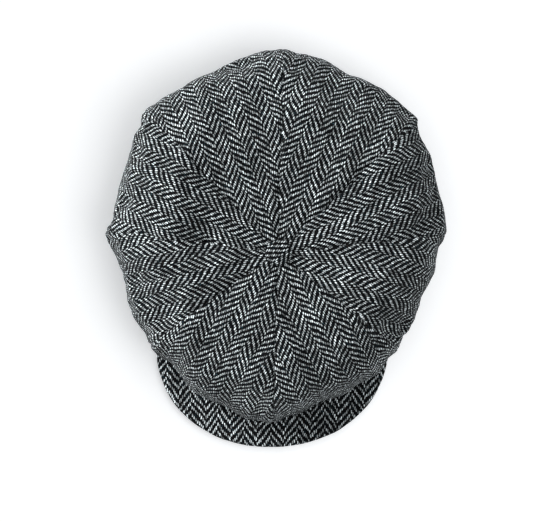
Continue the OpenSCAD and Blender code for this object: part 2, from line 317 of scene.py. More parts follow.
@dataclass(frozen=True)
class Tweed:
    """Two-and-two twill turned every few ends into a herringbone, light warp on dark weft, with painted
    shade along and between the threads.
    """

    end: float = 1.25 * MM
    pick: float = 1.36 * MM
    ends_per_column: int = 8
    slip: float = 0.5
    slow_stray: float = 1.7 * MM
    fine_stray: float = 0.7 * MM
    float_light: tuple[float, float] = (0.3, 1.45)
    yarn_light: tuple[float, float] = (0.8, 1.15)
    hair_light: tuple[float, float] = (0.25, 1.6)
    cloud_light: tuple[float, float] = (0.78, 1.2)
    # Painted shade: the yarn heights over which the colour goes from black to full, darkening the gaps
    # between threads.
    gap_shade: tuple[float, float] = (0.46, 0.82)
    light: tuple[float, float, float] = (0.80, 0.875, 0.90)
    dark: tuple[float, float, float] = (0.005, 0.006, 0.008)
    warm: tuple[float, float, float] = (0.16, 0.10, 0.07)
    cool: tuple[float, float, float] = (0.04, 0.10, 0.13)

    def make(self) -> bpy.types.Material:
        """Builds the weave from the cloth's flat coordinates.

        Returns:
            The tweed material.
        """
        g = Graph("tweed", (0.28, 0.30, 0.31))
        flat = g.uv()
        x, y, _ = g.parts(flat)
        ends = g.math("DIVIDE", g.math("ADD", x, self._wander(g, flat)), self.end)
        picks = g.math("DIVIDE", g.math("ADD", y, self._wander(g, g.vector(y, x, 0.3))), self.pick)
        end_no = g.math("FLOOR", ends)
        slip = g.math("MULTIPLY", g.random(g.vector(end_no, 7.0)), self.slip)
        picks = g.math("ADD", picks, slip)
        pick_no = g.math("FLOOR", picks)
        in_end = g.math("FRACT", ends)
        in_pick = g.math("FRACT", picks)
        folded = g.math("PINGPONG", ends, float(self.ends_per_column))
        column = g.math("FLOOR", g.math("DIVIDE", ends, float(self.ends_per_column)))
        cut = g.math("MULTIPLY", g.math("FLOORED_MODULO", column, 2.0), 2.0)
        step = g.math("ADD", g.math("ADD", g.math("FLOOR", folded), pick_no), cut)
        phase = g.math("FLOORED_MODULO", step, 4.0)
        warp_up = g.math("LESS_THAN", phase, 1.5)

        along_warp = g.math("MULTIPLY", g.math("ADD", phase, in_pick), 0.5)
        along_weft = g.math("SUBTRACT", g.math("ADD", phase, g.math("FRACT", folded)), 2.0)
        along_weft = g.math("MULTIPLY", along_weft, 0.5)
        warp = g.math("MULTIPLY", self._dome(g, in_end, 2), self._dome(g, along_warp, 4))
        weft = g.math("MULTIPLY", self._dome(g, in_pick, 2), self._dome(g, along_weft, 4))
        height = g.blend(warp_up, weft, warp)

        float_no = g.math("FLOOR", g.math("MULTIPLY", step, 0.25))
        each = g.range(g.random(g.vector(end_no, float_no)), 0.0, 1.0, *self.float_light)
        yarn = g.range(g.random(g.vector(end_no, 3.0)), 0.0, 1.0, *self.yarn_light)
        fleck = g.noise(flat, 620, 2, 0.6)
        light = g.tint(g.range(fleck, 0.60, 0.74, 0.0, 0.35), self.light, self.warm)
        light = g.scaled(light, g.math("MULTIPLY", each, yarn))
        blue = g.noise(g.vector(y, x), 480, 2)
        dark = g.tint(g.range(blue, 0.54, 0.75, 0.0, 0.5), self.dark, self.cool)
        dark = g.tint(g.range(fleck, 0.28, 0.40, 0.25, 0.0), dark, self.warm)
        colour = g.tint(warp_up, dark, light)
        # Painted shade: the colour darkens where the yarn is low, on each float's flanks and ends and
        # in the gaps between threads.
        depth = g.range(height, *self.gap_shade, 0.0, 1.0)
        hair = g.range(g.noise(flat, 1050, 3, 0.85), 0.36, 0.64, *self.hair_light)
        cloudy = g.range(g.noise(flat, 30, 3), 0.3, 0.7, *self.cloud_light)
        colour = g.scaled(colour, g.math("MULTIPLY", depth, g.math("MULTIPLY", hair, cloudy)))
        g.relief(g.math("ADD", height, g.math("MULTIPLY", hair, 0.3)), 0.5 * MM, 0.9)
        return g.surface(
            Base_Color=colour,
            Roughness=0.9,
            Sheen_Weight=0.02,
            Sheen_Roughness=0.5,
            Specular_IOR_Level=0.06,
        )

    def _wander(self, g: Graph, flat: object) -> bpy.types.NodeSocket:
        """How far the threads stray sideways: in slow waves and in a fine tremble."""
        slow = g.math("MULTIPLY_ADD", g.noise(flat, 55, 2), 2 * self.slow_stray, -self.slow_stray)
        fine = g.math("MULTIPLY_ADD", g.noise(flat, 420, 1), 2 * self.fine_stray, -self.fine_stray)
        return g.math("ADD", slow, fine)

    @staticmethod
    def _dome(g: Graph, share: object, power: float) -> bpy.types.NodeSocket:
        """1 in the middle of a share from 0 to 1, falling to 0 at its ends."""
        off = g.math("ABSOLUTE", g.math("MULTIPLY_ADD", share, 2.0, -1.0))
        return g.math("SUBTRACT", 1.0, g.math("POWER", off, float(power)))


@dataclass(frozen=True)
class Satin:
    """Smooth lining cloth with a fine thread and a soft gloss along it."""

    colour: tuple[float, float, float] = (0.035, 0.038, 0.048)

    def make(self) -> bpy.types.Material:
        """The satin material."""
        g = Graph("satin", self.colour)
        flat = g.uv()
        x, y, _ = g.parts(flat)
        thread = g.noise(g.vector(g.math("MULTIPLY", x, 6.0), y), 260, 3, 0.6)
        colour = g.tint(g.range(thread, 0.3, 0.7, 0.0, 1.0), self.colour, (0.06, 0.066, 0.082))
        g.relief(thread, 0.08 * MM, 0.6)
        gloss = g.range(g.noise(flat, 60, 2), 0.3, 0.7, 0.30, 0.42)
        return g.surface(Base_Color=colour, Roughness=gloss, Sheen_Weight=0.2, Sheen_Roughness=0.3)


@dataclass(frozen=True)
class Leather:
    """Dark smooth leather with a fine grain, rubbed paler in patches."""

    colour: tuple[float, float, float] = (0.055, 0.038, 0.032)

    def make(self) -> bpy.types.Material:
        """The leather material."""
        g = Graph("leather", self.colour)
        place = g.place()
        cells = g.nodes.new("ShaderNodeTexVoronoi")
        cells.inputs["Scale"].default_value = 1100
        g.feed(cells.inputs["Vector"], place)
        grain = g.range(cells.outputs["Distance"], 0.0, 0.6, 0.0, 1.0)
        wear = g.noise(place, 90, 4, 0.6)
        colour = g.tint(g.range(wear, 0.45, 0.75, 0.0, 0.7), self.colour, (0.12, 0.085, 0.07))
        g.relief(g.math("ADD", grain, wear), 0.12 * MM, 0.7)
        rough = g.range(wear, 0.3, 0.7, 0.42, 0.58)
        return g.surface(Base_Color=colour, Roughness=rough, Specular_IOR_Level=0.4)


@dataclass(frozen=True)
class PlainWeave:
    """A plain one-up one-down cloth, for the canvas, the stay and the label."""

    name: str
    colour: tuple[float, float, float]
    thread: float = 0.5 * MM

    def make(self) -> bpy.types.Material:
        """The plain-woven material, on Object coordinates."""
        g = Graph(self.name, self.colour)
        place = g.place()
        x, y, z = g.parts(place)
        turn = 2 * math.pi / self.thread
        up = g.math("SINE", g.math("MULTIPLY", g.math("ADD", x, y), turn))
        over = g.math("SINE", g.math("MULTIPLY", g.math("ADD", z, g.math("SUBTRACT", y, x)), turn))
        weave = g.math("MULTIPLY_ADD", g.math("MULTIPLY", up, over), 0.5, 0.5)
        dust = g.noise(place, 300, 3)
        shade_low = tuple(0.6 * c for c in self.colour)
        colour = g.tint(g.math("MULTIPLY", weave, dust), shade_low, self.colour)
        g.relief(weave, 0.1 * MM, 0.7)
        return g.surface(Base_Color=colour, Roughness=0.8, Sheen_Weight=0.1)


@dataclass(frozen=True)
class Metal:
    """Pressed or plated metal with fine scratches and a dull patch here and there."""

    name: str
    colour: tuple[float, float, float]
    roughness: float

    def make(self) -> bpy.types.Material:
        """The metal material."""
        g = Graph(self.name, self.colour)
        place = g.place()
        x, y, z = g.parts(place)
        scratch = g.noise(g.vector(g.math("MULTIPLY", x, 9.0), y, z), 700, 3, 0.7)
        patch = g.noise(place, 240, 3)
        rough = g.math("ADD", g.range(scratch, 0.3, 0.7, -0.06, 0.08), self.roughness)
        colour = g.tint(patch, tuple(0.7 * c for c in self.colour), self.colour)
        g.relief(scratch, 0.02 * MM, 0.5)
        return g.surface(Base_Color=colour, Roughness=rough, Metallic=1.0)


@dataclass(frozen=True)
class Board:
    """Moulded plastic sheet with a faint pebble."""

    colour: tuple[float, float, float] = (0.05, 0.055, 0.065)

    def make(self) -> bpy.types.Material:
        """The board material."""
        g = Graph("board", self.colour)
        pebble = g.noise(g.place(), 900, 3)
        colour = g.tint(pebble, self.colour, tuple(1.5 * c for c in self.colour))
        g.relief(pebble, 0.1 * MM, 0.5)
        return g.surface(Base_Color=colour, Roughness=g.range(pebble, 0.3, 0.7, 0.45, 0.6))


@dataclass(frozen=True)
class Thread:
    """Twisted sewing thread, with painted shade between its plies."""

    colour: tuple[float, float, float] = (0.03, 0.03, 0.035)

    def make(self) -> bpy.types.Material:
        """The thread material."""
        g = Graph("thread", self.colour)
        x, y, z = g.parts(g.place())
        ply = g.math("SINE", g.math("MULTIPLY", g.math("ADD", x, g.math("ADD", y, z)), 14000.0))
        ply = g.math("MULTIPLY_ADD", ply, 0.5, 0.5)
        # Painted shade: the colour is lighter on each ply's crest and darker in the grooves between
        # plies.
        colour = g.tint(ply, self.colour, tuple(2.2 * c for c in self.colour))
        g.relief(ply, 0.05 * MM, 0.6)
        return g.surface(Base_Color=colour, Roughness=0.6, Sheen_Weight=0.2)


class Finishes:
    """Every material of the cap, made once."""

    def __init__(self) -> None:
        """Makes the materials."""
        self.tweed = Tweed().make()
        self.satin = Satin().make()
        self.leather = Leather().make()
        self.canvas = PlainWeave("canvas", (0.66, 0.62, 0.54), 0.9 * MM).make()
        self.stay = PlainWeave("stay_cloth", (0.1, 0.1, 0.11)).make()
        self.label = PlainWeave("label_weave", (0.52, 0.50, 0.45), 0.4 * MM).make()
        self.steel = Metal("steel", (0.62, 0.62, 0.63), 0.35).make()
        self.gunmetal = Metal("snap_metal", (0.30, 0.29, 0.27), 0.3).make()
        self.board = Board().make()
        self.thread = Thread().make()


# ---------------------------------------------------------------------------
# The crown's form
# ---------------------------------------------------------------------------


@dataclass(frozen=True)
class Seam:
    """Where a crown seam meets the widest line, and the crown's shape along it."""

    end: tuple[float, float]
    rim_height: float
    sag: float
    roundness: float
    shoulder: float


@dataclass
class CapForm:
    """The surface that the crown's cloth lies on, worked out from the frame's boxes."""

    bows: tuple[float, ...] = (3.6, 0.4, -1.6, 8.0, 8.0, 1.2, 0.6, 4.2)
    seat: float = 0.7 * MM
    blunt: float = 1.6 * MM
    blunt_reach: float = 13 * MM
    dip: float = 13 * MM
    dip_reach: float = 118 * MM
    button_gap: float = 0.9 * MM
    top: float = field(init=False)
    button: np.ndarray = field(init=False)
    band_low: Vector = field(init=False)
    band_high: Vector = field(init=False)
    seams: list[Seam] = field(init=False)

    def __post_init__(self) -> None:
        """Reads the frame and lays out the eight seams, clockwise from the back."""
        back_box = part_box("panel_back_right")
        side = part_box("panel_side_back_right")[1].x
        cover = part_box("button_cover")
        self.button = np.array([0.0, (cover[0].y + cover[1].y) / 2])
        self.top = cover[0].z - self.button_gap + self.dip
        back = back_box[1].y - self.button[1]
        front = self.button[1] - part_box("panel_front_right")[0].y
        self.band_low, self.band_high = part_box("headband_outer")
        rim_back, rim_side, rim_corner, fold = 50 * MM, 45 * MM, 32 * MM, 21 * MM
        right = [
            Seam((0.0, back), rim_back, 18 * MM, 3.2, 2.5),
            Seam((0.82 * side, 0.676 * back), rim_back, 18 * MM, 3.2, 2.5),
            Seam((side, 0.11 * back), rim_side, 16 * MM, 3.2, 2.5),
            Seam((0.75 * side, -0.55 * front), rim_corner, 12 * MM, 3.4, 2.6),
            Seam((0.0, -front), fold, 5 * MM, 3.4, 2.6),
        ]
        left = [
            Seam((-s.end[0], s.end[1]), s.rim_height, s.sag, s.roundness, s.shoulder)
            for s in right[3:0:-1]
        ]
        left[1] = replace(left[1], end=(-side - 4 * MM, 0.11 * back - 5 * MM))
        self.seams = right + left

    def rim(self, panel: int, share: np.ndarray) -> np.ndarray:
        """Plan points of the widest line, relative to the button.

        Args:
            panel: Number of the panel, from 0 at the back right, clockwise.
            share: Shares from the panel's first seam to its second.

        Returns:
            Plan points, one for each share.
        """
        first = np.array(self.seams[panel].end)
        last = np.array(self.seams[(panel + 1) % 8].end)
        span = last - first
        out = np.array([-span[1], span[0]]) / np.linalg.norm(span)
        middle = (first + last) / 2 + 2 * self.bows[panel] * MM * out
        u = np.asarray(share)[..., None]
        line = (1 - u) ** 2 * first + 2 * u * (1 - u) * middle + u**2 * last
        near = np.minimum(np.asarray(share), 1 - np.asarray(share)) * np.linalg.norm(span)
        return line - unit(line) * (self.blunt * bump_at(near, self.blunt_reach))[..., None]

    def across(self, panel: int, share: np.ndarray, name: str) -> np.ndarray:
        """A seam value eased from the panel's first seam to its second."""
        first = getattr(self.seams[panel], name)
        last = getattr(self.seams[(panel + 1) % 8], name)
        return first + (last - first) * ease(np.asarray(share))

    def band_oval(self, plan: np.ndarray, inset: float) -> np.ndarray:
        """Points of the headband's oval in the direction of plan points.

        Args:
            plan: Plan points relative to the button.
            inset: How far the oval is moved in.

        Returns:
            Plan points on the oval, relative to the button.
        """
        centre = np.array([0.0, (self.band_low.y + self.band_high.y) / 2]) - self.button
        half = np.array([self.band_high.x, (self.band_high.y - self.band_low.y) / 2]) - inset
        ray = plan - centre
        return centre + ray / np.linalg.norm(ray / half, axis=-1, keepdims=True)

    def surface(
        self, panel: int, share: np.ndarray, turn: np.ndarray, depth: float = 0.0
    ) -> np.ndarray:
        """Points of the crown.

        Args:
            panel: Number of the panel.
            share: Shares across the panel.
            turn: 0 at the button, 1 at the widest line and 2 at the headband.
            depth: Distance inside the outer surface.

        Returns:
            Places in the row frame.
        """
        share, turn = np.broadcast_arrays(share, turn)
        rim = self.rim(panel, share)
        rim_dir = unit(rim)
        reach = np.linalg.norm(rim, axis=-1) - depth
        low = self.across(panel, share, "rim_height")
        angle = np.clip(turn, 0, 1) * math.pi / 2
        out = np.sin(angle) ** (2 / self.across(panel, share, "roundness"))
        up = np.abs(np.cos(angle)) ** (2 / self.across(panel, share, "shoulder"))
        plan_top = rim_dir * (reach * out)[..., None]
        hollow = self.dip * ease(np.clip(1 - reach * out / self.dip_reach, 0, 1))
        z_top = low + (self.top - depth - low) * up - hollow

        w = np.clip(turn - 1, 0, 1)
        edge = rim_dir * reach[..., None]
        seat_plan = self.band_oval(rim, -0.2 * MM)
        fold_in = (1 - np.cos(w * math.pi / 2))[..., None]
        plan_under = edge + (seat_plan - edge) * fold_in
        sag = self.across(panel, share, "sag") - depth / 2
        seat_z = self.band_high.z + self.seat + depth
        z_under = low + (seat_z - low) * w**2.5 - sag * np.sin(math.pi * w)

        under = (turn > 1)[..., None]
        plan = np.where(under, plan_under, plan_top) + self.button
        z = np.where(turn > 1, z_under, z_top)
        return np.concatenate([plan, z[..., None]], axis=-1)

    def even_turns(self, panel: int, spacing: float, start: float) -> np.ndarray:
        """Turns at even distances along the middle of a panel.

        Args:
            panel: Number of the panel.
            spacing: Distance between rows.
            start: Radius of the first row about the button.

        Returns:
            The turns, from the button outwards.
        """
        fine = np.linspace(1e-4, 2.0, 1600)
        line = self.surface(panel, np.full(fine.shape, 0.5), fine)
        radius = np.linalg.norm(line[:, :2] - self.button, axis=-1)
        steps = np.linalg.norm(np.diff(line, axis=0), axis=-1)
        length = np.concatenate([[0.0], np.cumsum(steps)])
        first = np.interp(start, radius[: np.argmax(radius)], length[: np.argmax(radius)])
        count = max(3, int(round((length[-1] - first) / spacing)) + 1)
        return np.interp(np.linspace(first, length[-1], count), length, fine)


class CrownDrape:
    """A short cloth simulation of the whole crown, kept as a field of small moves."""

    COLUMNS = 12
    ROWS = 56
    FRAMES = 20
    FARTHEST = 6.5 * MM

    def __init__(self, form: CapForm) -> None:
        """Lays a coarse ring of cloth on the form."""
        self.turns = np.linspace(0.05, 2.0, self.ROWS)
        shares = np.arange(self.COLUMNS) / self.COLUMNS
        parts = [form.surface(p, shares[None, :], self.turns[:, None]) for p in range(8)]
        self.rest = np.concatenate(parts, axis=1)
        self.moves = np.zeros_like(self.rest)

    def relax(self) -> None:
        """Runs the simulation and keeps how far each point moved."""
        columns = 8 * self.COLUMNS
        points = self.rest + self._ripples()
        piece = weave_grid("crown_drape", points, closed=True)
        pins = piece.vertex_groups.new(name="held")
        weights = self._pin_weights()
        for index, weight in enumerate(weights.ravel()):
            if weight > 0:
                pins.add([index], float(weight), "REPLACE")
        cloth = piece.modifiers.new("cloth", "CLOTH")
        self._settings(cloth)
        scene = bpy.context.scene
        cloth.point_cache.frame_start = 1
        cloth.point_cache.frame_end = self.FRAMES
        for frame in range(1, self.FRAMES + 1):
            scene.frame_set(frame)
        done = piece.evaluated_get(bpy.context.evaluated_depsgraph_get())
        found = np.empty(len(done.data.vertices) * 3, np.float32)
        done.data.vertices.foreach_get("co", found)
        moved = found.reshape(self.ROWS, columns, 3) - self.rest
        length = np.linalg.norm(moved, axis=-1, keepdims=True)
        self.moves = moved * np.minimum(1.0, self.FARTHEST / np.maximum(length, 1e-9))
        scene.frame_set(1)
        bpy.data.objects.remove(piece)
        LOG.info("crown drape moved %.1f mm at most", 1000 * float(length.max()))

    def _settings(self, cloth: bpy.types.ClothModifier) -> None:
        """Gives the cloth the springs of a lined tweed."""
        s = cloth.settings
        s.quality = 6
        s.mass = 0.25
        s.air_damping = 4.0
        s.tension_stiffness = s.compression_stiffness = 22.0
        s.shear_stiffness = 8.0
        s.bending_stiffness = 0.6
        s.vertex_group_mass = "held"
        s.pin_stiffness = 1.2
        s.use_pressure = True
        s.uniform_pressure_force = 2.2
        s.shrink_min = -0.012
        s.effector_weights.gravity = 0.0
        cloth.collision_settings.use_collision = False

    def _pin_weights(self) -> np.ndarray:
        """How firmly each point is held: the button, the headband and, lightly, the seams."""
        weights = np.zeros(self.rest.shape[:2])
        weights[:2] = 1.0
        weights[-2:] = 1.0
        seam = np.zeros(8 * self.COLUMNS)
        seam[:: self.COLUMNS] = 0.35
        return np.maximum(weights, seam[None, :])

    def _ripples(self) -> np.ndarray:
        """Small starting ripples that the cloth buckles along."""
        ripple = soft_noise(self.rest, 26 * MM, 3.7) + 0.6 * soft_noise(self.rest, 12 * MM, 9.1)
        normals = -grid_normals(self.rest, closed=True)
        return normals * (ripple * 0.8 * MM)[..., None]

    def moves_at(self, panel: int, share: np.ndarray, turn: np.ndarray) -> np.ndarray:
        """The moves at places of a panel, interpolated smoothly.

        Args:
            panel: Number of the panel.
            share: Shares across the panel.
            turn: Turns along it.

        Returns:
            Moves in metres, with three values along the last axis.
        """
        share, turn = np.broadcast_arrays(share, turn)
        columns = 8 * self.COLUMNS
        col = (panel + share) * self.COLUMNS
        row = np.interp(turn, self.turns, np.arange(self.ROWS))
        return catmull_grid(self.moves, row, col % columns)


def catmull_grid(values: np.ndarray, row: np.ndarray, col: np.ndarray) -> np.ndarray:
    """Smooth interpolation in a grid whose columns join up.

    Args:
        values: Grid of vectors, rows by columns by three.
        row: Row places to read.
        col: Column places to read.

    Returns:
        One vector for each place.
    """
    rows, columns = values.shape[:2]
    r0, c0 = np.floor(row).astype(int), np.floor(col).astype(int)
    fr, fc = row - r0, col - c0
    total = np.zeros((*row.shape, 3))
    for dr, wr in zip(range(-1, 3), _catmull_weights(fr)):
        line = np.clip(r0 + dr, 0, rows - 1)
        for dc, wc in zip(range(-1, 3), _catmull_weights(fc)):
            total += (wr * wc)[..., None] * values[line, (c0 + dc) % columns]
    return total


def _catmull_weights(f: np.ndarray) -> tuple[np.ndarray, ...]:
    """The four weights of a Catmull-Rom curve at a fraction."""
    return (
        (-(f**3) + 2 * f**2 - f) / 2,
        (3 * f**3 - 5 * f**2 + 2) / 2,
        (-3 * f**3 + 4 * f**2 + f) / 2,
        (f**3 - f**2) / 2,
    )


# ---------------------------------------------------------------------------
# Sheets of cloth
# ---------------------------------------------------------------------------


def weave_grid(
    name: str,
    points: np.ndarray,
    flat: np.ndarray | None = None,
    closed: bool = False,
    outward: Callable[[np.ndarray], np.ndarray] | None = None,
) -> bpy.types.Object:
    """A sheet of quads on a grid of points.

    Args:
        name: The piece's name.
        points: Places, rows by columns by three.
        flat: Flat cutting coordinates for each point, rows by columns by two. A closed
            grid gives one more column than points does, for the join.
        closed: Whether the last column joins the first.
        outward: Function from face middles to directions that their normals face.

    Returns:
        The new piece, with its cutting coordinates in a UV map called cloth.
    """
    rows, columns = points.shape[:2]
    wide = columns if closed else columns - 1
    r, c = np.meshgrid(np.arange(rows - 1), np.arange(wide), indexing="ij")
    right = (c + 1) % columns
    corners = np.stack(
        [r * columns + c, r * columns + right, (r + 1) * columns + right, (r + 1) * columns + c],
        axis=-1,
    ).reshape(-1, 4)
    flat_index = np.stack(
        [np.stack([r, c]), np.stack([r, c + 1]), np.stack([r + 1, c + 1]), np.stack([r + 1, c])],
        axis=-1,
    ).reshape(2, -1, 4)
    if outward is not None:
        places = points.reshape(-1, 3)[corners]
        normals = np.cross(places[:, 2] - places[:, 0], places[:, 3] - places[:, 1])
        facing = np.sum(normals * outward(places.mean(axis=1)), axis=1)
        if facing.sum() < 0:
            corners = corners[:, ::-1]
            flat_index = flat_index[:, :, ::-1]
    mesh = bpy.data.meshes.new(name)
    mesh.from_pydata(points.reshape(-1, 3).tolist(), [], corners.tolist())
    if flat is not None:
        layer = mesh.uv_layers.new(name="cloth")
        values = flat[flat_index[0].ravel(), flat_index[1].ravel()]
        layer.data.foreach_set("uv", values.astype(np.float32).ravel())
    piece = bpy.data.objects.new(name, mesh)
    bpy.context.scene.collection.objects.link(piece)
    return piece


def thicken(piece: bpy.types.Object, thickness: float) -> None:
    """Gives a sheet its thickness, inwards from its outer face."""
    solid = piece.modifiers.new("thickness", "SOLIDIFY")
    solid.thickness = thickness
    solid.offset = -1.0
    solid.use_even_offset = False
    apply_modifiers(piece)
    shade(piece)


def finish_piece(
    piece: bpy.types.Object,
    material: bpy.types.Material,
    body: Body | None,
    stands_for: Sequence[str] = (),
) -> None:
    """Dresses a piece and ties it to the frame.

    Args:
        piece: The piece.
        material: Its material.
        body: The body that it rides on, or None for a piece left on neither.
        stands_for: CAD nodes that it replaces.
    """
    piece.data.materials.clear()
    piece.data.materials.append(material)
    if body:
        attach(piece, body.value)
    if stands_for:
        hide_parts(*stands_for)
    LOG.info("made %s (%d faces)", piece.name, len(piece.data.polygons))


@dataclass(frozen=True)
class Crease:
    """A soft ridge or dip in the crown between two plan points, relative to the button."""

    start: tuple[float, float]
    end: tuple[float, float]
    width: float
    height: float

    def lift(self, plan: np.ndarray) -> np.ndarray:
        """Height of the crease at plan points, in metres."""
        a, b = np.array(self.start), np.array(self.end)
        span = b - a
        along = np.clip(((plan - a) @ span) / (span @ span), 0, 1)
        away = np.linalg.norm(plan - (a + along[..., None] * span), axis=-1)
        return self.height * (bump_at(away, self.width) - 0.45 * bump_at(away, 2.2 * self.width))


PANELS = (
    "panel_back_right",
    "panel_side_back_right",
    "panel_side_front_right",
    "panel_front_right",
    "panel_front_left",
    "panel_side_front_left",
    "panel_side_back_left",
    "panel_back_left",
)


@dataclass
class Crown:
    """The eight tweed panels with their seams turned in."""

    form: CapForm
    drape: CrownDrape
    row_spacing: float = 1.9 * MM
    hole: float = 4 * MM
    thickness: float = 1.3 * MM
    groove: float = 1.1 * MM
    groove_width: float = 1.3 * MM
    allowance: float = 9 * MM
    turn_in: float = 2.2 * MM
    pillow: float = 1.3 * MM
    puff: float = 6.5 * MM
    puff_size: float = 25 * MM
    calm_radius: float = 14 * MM
    rough: float = 0.9 * MM
    rough_size: float = 9 * MM
    column_shift: tuple[float, ...] = (0.0, 3.1, 1.2, 5.2, 0.4, 6.1, 2.4, 4.6)
    creases: tuple[Crease, ...] = (
        Crease((-0.122, -0.040), (-0.086, -0.078), 9 * MM, 3.4 * MM),
        Crease((-0.100, -0.090), (-0.094, -0.078), 11 * MM, 5.0 * MM),
        Crease((0.116, -0.046), (0.092, -0.072), 8 * MM, 2.6 * MM),
        Crease((0.096, -0.090), (0.088, -0.086), 10 * MM, -4.5 * MM),
        Crease((-0.128, 0.016), (-0.084, 0.004), 8 * MM, -2.2 * MM),
        Crease((-0.118, -0.014), (-0.072, -0.030), 10 * MM, 2.0 * MM),
        Crease((0.122, -0.012), (0.080, -0.020), 9 * MM, 1.8 * MM),
        Crease((0.112, 0.094), (0.092, 0.098), 5 * MM, -1.8 * MM),
        Crease((0.010, -0.132), (0.046, -0.120), 10 * MM, -6.0 * MM),
        Crease((0.004, -0.131), (0.007, -0.116), 4 * MM, -3.2 * MM),
        Crease((-0.030, 0.138), (-0.042, 0.110), 9 * MM, 1.6 * MM),
        Crease((-0.078, 0.070), (-0.086, -0.004), 19 * MM, 6.0 * MM),
        Crease((-0.052, 0.052), (-0.054, 0.004), 12 * MM, -2.6 * MM),
        Crease((0.044, 0.104), (0.038, 0.058), 10 * MM, -2.8 * MM),
        Crease((0.088, 0.020), (0.074, -0.050), 16 * MM, 5.0 * MM),
        Crease((0.060, -0.060), (0.030, -0.092), 12 * MM, 3.4 * MM),
        Crease((-0.004, -0.050), (-0.006, -0.092), 16 * MM, 3.0 * MM),
        Crease((0.020, -0.056), (0.026, -0.088), 7 * MM, -2.8 * MM),
        Crease((-0.050, -0.044), (-0.056, -0.080), 8 * MM, -2.2 * MM),
        Crease((-0.006, 0.120), (-0.006, 0.060), 8 * MM, -1.8 * MM),
        Crease((0.026, -0.134), (0.100, -0.072), 24 * MM, -7.0 * MM),
        Crease((-0.116, 0.074), (-0.116, -0.026), 18 * MM, -5.0 * MM),
        Crease((0.098, 0.094), (0.040, 0.132), 16 * MM, -4.0 * MM),
        Crease((0.020, 0.140), (0.016, 0.110), 8 * MM, 1.4 * MM),
    )

    def build(self, finishes: Finishes) -> list[bpy.types.Object]:
        """Builds and dresses the panels.

        Args:
            finishes: The cap's materials.

        Returns:
            The panels, clockwise from the back right.
        """
        return [self._panel(number, name, finishes) for number, name in enumerate(PANELS)]

    def _shares(self) -> np.ndarray:
        """Columns of a panel: close together at the seams, even in the middle."""
        near = np.array([0.0015, 0.007, 0.014, 0.023, 0.034, 0.048, 0.066, 0.088, 0.115])
        middle = np.linspace(0.15, 0.85, 21)
        return np.concatenate([near, middle, 1 - near[::-1]])

    def _panel(self, number: int, name: str, finishes: Finishes) -> bpy.types.Object:
        """One panel, from its place on the form to its finished piece."""
        shares = self._shares()
        turns = self.form.even_turns(number, self.row_spacing, self.hole)
        share, turn = np.meshgrid(shares, turns)
        points = self.form.surface(number, share, turn)
        points = points + self.drape.moves_at(number, share, turn)
        flat = self._flat(number, points)
        normals = self._outward_normals(points)
        fold = self.fold_at(points, turn)
        lift = self.rough * soft_noise(points, self.rough_size, 5.0)
        lift = lift + self._seam_profile(points, share, number)
        lift = lift + self._pillow(points, share) * (1 - ease(np.clip((turn - 0.6) / 0.35, 0, 1)))
        upright = unit(normals + [0.0, 0.0, 1.5])
        points = points + normals * lift[..., None] + upright * fold[..., None]
        points = self._sway_seams(points, share, turn, number)
        points, flat = self._turn_in(points, flat, normals)
        piece = weave_grid(name + "_tweed", points, flat, outward=self._away)
        thicken(piece, self.thickness)
        finish_piece(piece, finishes.tweed, Body.CAP, [name])
        declare_sheet(flat, points)
        return piece

    def fold_at(self, places: np.ndarray, turn: np.ndarray) -> np.ndarray:
        """How far creases and puffs lift the crown, fading out below its widest line.

        Args:
            places: Places on the crown or on its lining.
            turn: Their turns, as in CapForm.surface.

        Returns:
            Heights in metres.
        """
        plan = places[..., :2] - self.form.button
        level = np.concatenate([plan, np.zeros_like(plan[..., :1])], axis=-1)
        fold = sum(crease.lift(plan) for crease in self.creases)
        fold = fold + self.puff * soft_noise(level, self.puff_size, 3.0)
        radius = np.linalg.norm(plan, axis=-1)
        calm = ease(np.clip(radius / self.calm_radius - 1, 0, 1))
        return fold * calm * (1 - ease(np.clip((turn - 1.0) / 0.5, 0, 1)))

    def _pillow(self, points: np.ndarray, share: np.ndarray) -> np.ndarray:
        """How far the panel swells between its seams, more where it is wide."""
        width = np.linalg.norm(points[:, -1] - points[:, 0], axis=-1)[:, None]
        size = np.clip(width / (90 * MM), 0, 1)
        return self.pillow * size * np.sin(math.pi * share)

    def _away(self, places: np.ndarray) -> np.ndarray:
        """Directions away from the middle of the crown."""
        middle = np.array([*self.form.button, self.form.band_high.z + 12 * MM])
        return places - middle

    def _outward_normals(self, points: np.ndarray) -> np.ndarray:
        """Normals of a panel's grid that face away from the cap's middle."""
        normals = grid_normals(points)
        return normals if normals[2, points.shape[1] // 2, 2] > 0 else -normals

    def _flat(self, number: int, points: np.ndarray) -> np.ndarray:
        """Flat cutting coordinates: across the panel, and along its middle.

        Args:
            number: Number of the panel.
            points: The panel's grid of places.

        Returns:
            Grid of coordinates in metres.
        """
        first = unit(np.array(self.form.seams[number].end))
        last = unit(np.array(self.form.seams[(number + 1) % 8].end))
        along = unit(first + last)
        sideways = np.array([along[1], -along[0]])
        plan = points[..., :2] - self.form.button
        x = plan @ sideways
        forward = plan @ along
        steps = np.hypot(np.diff(forward, axis=0), np.diff(points[..., 2], axis=0))
        y = np.concatenate([forward[:1], forward[:1] + np.cumsum(steps, axis=0)])
        return np.stack([x + (self.column_shift[number] + 0.5) * Tweed.end, y], axis=-1)

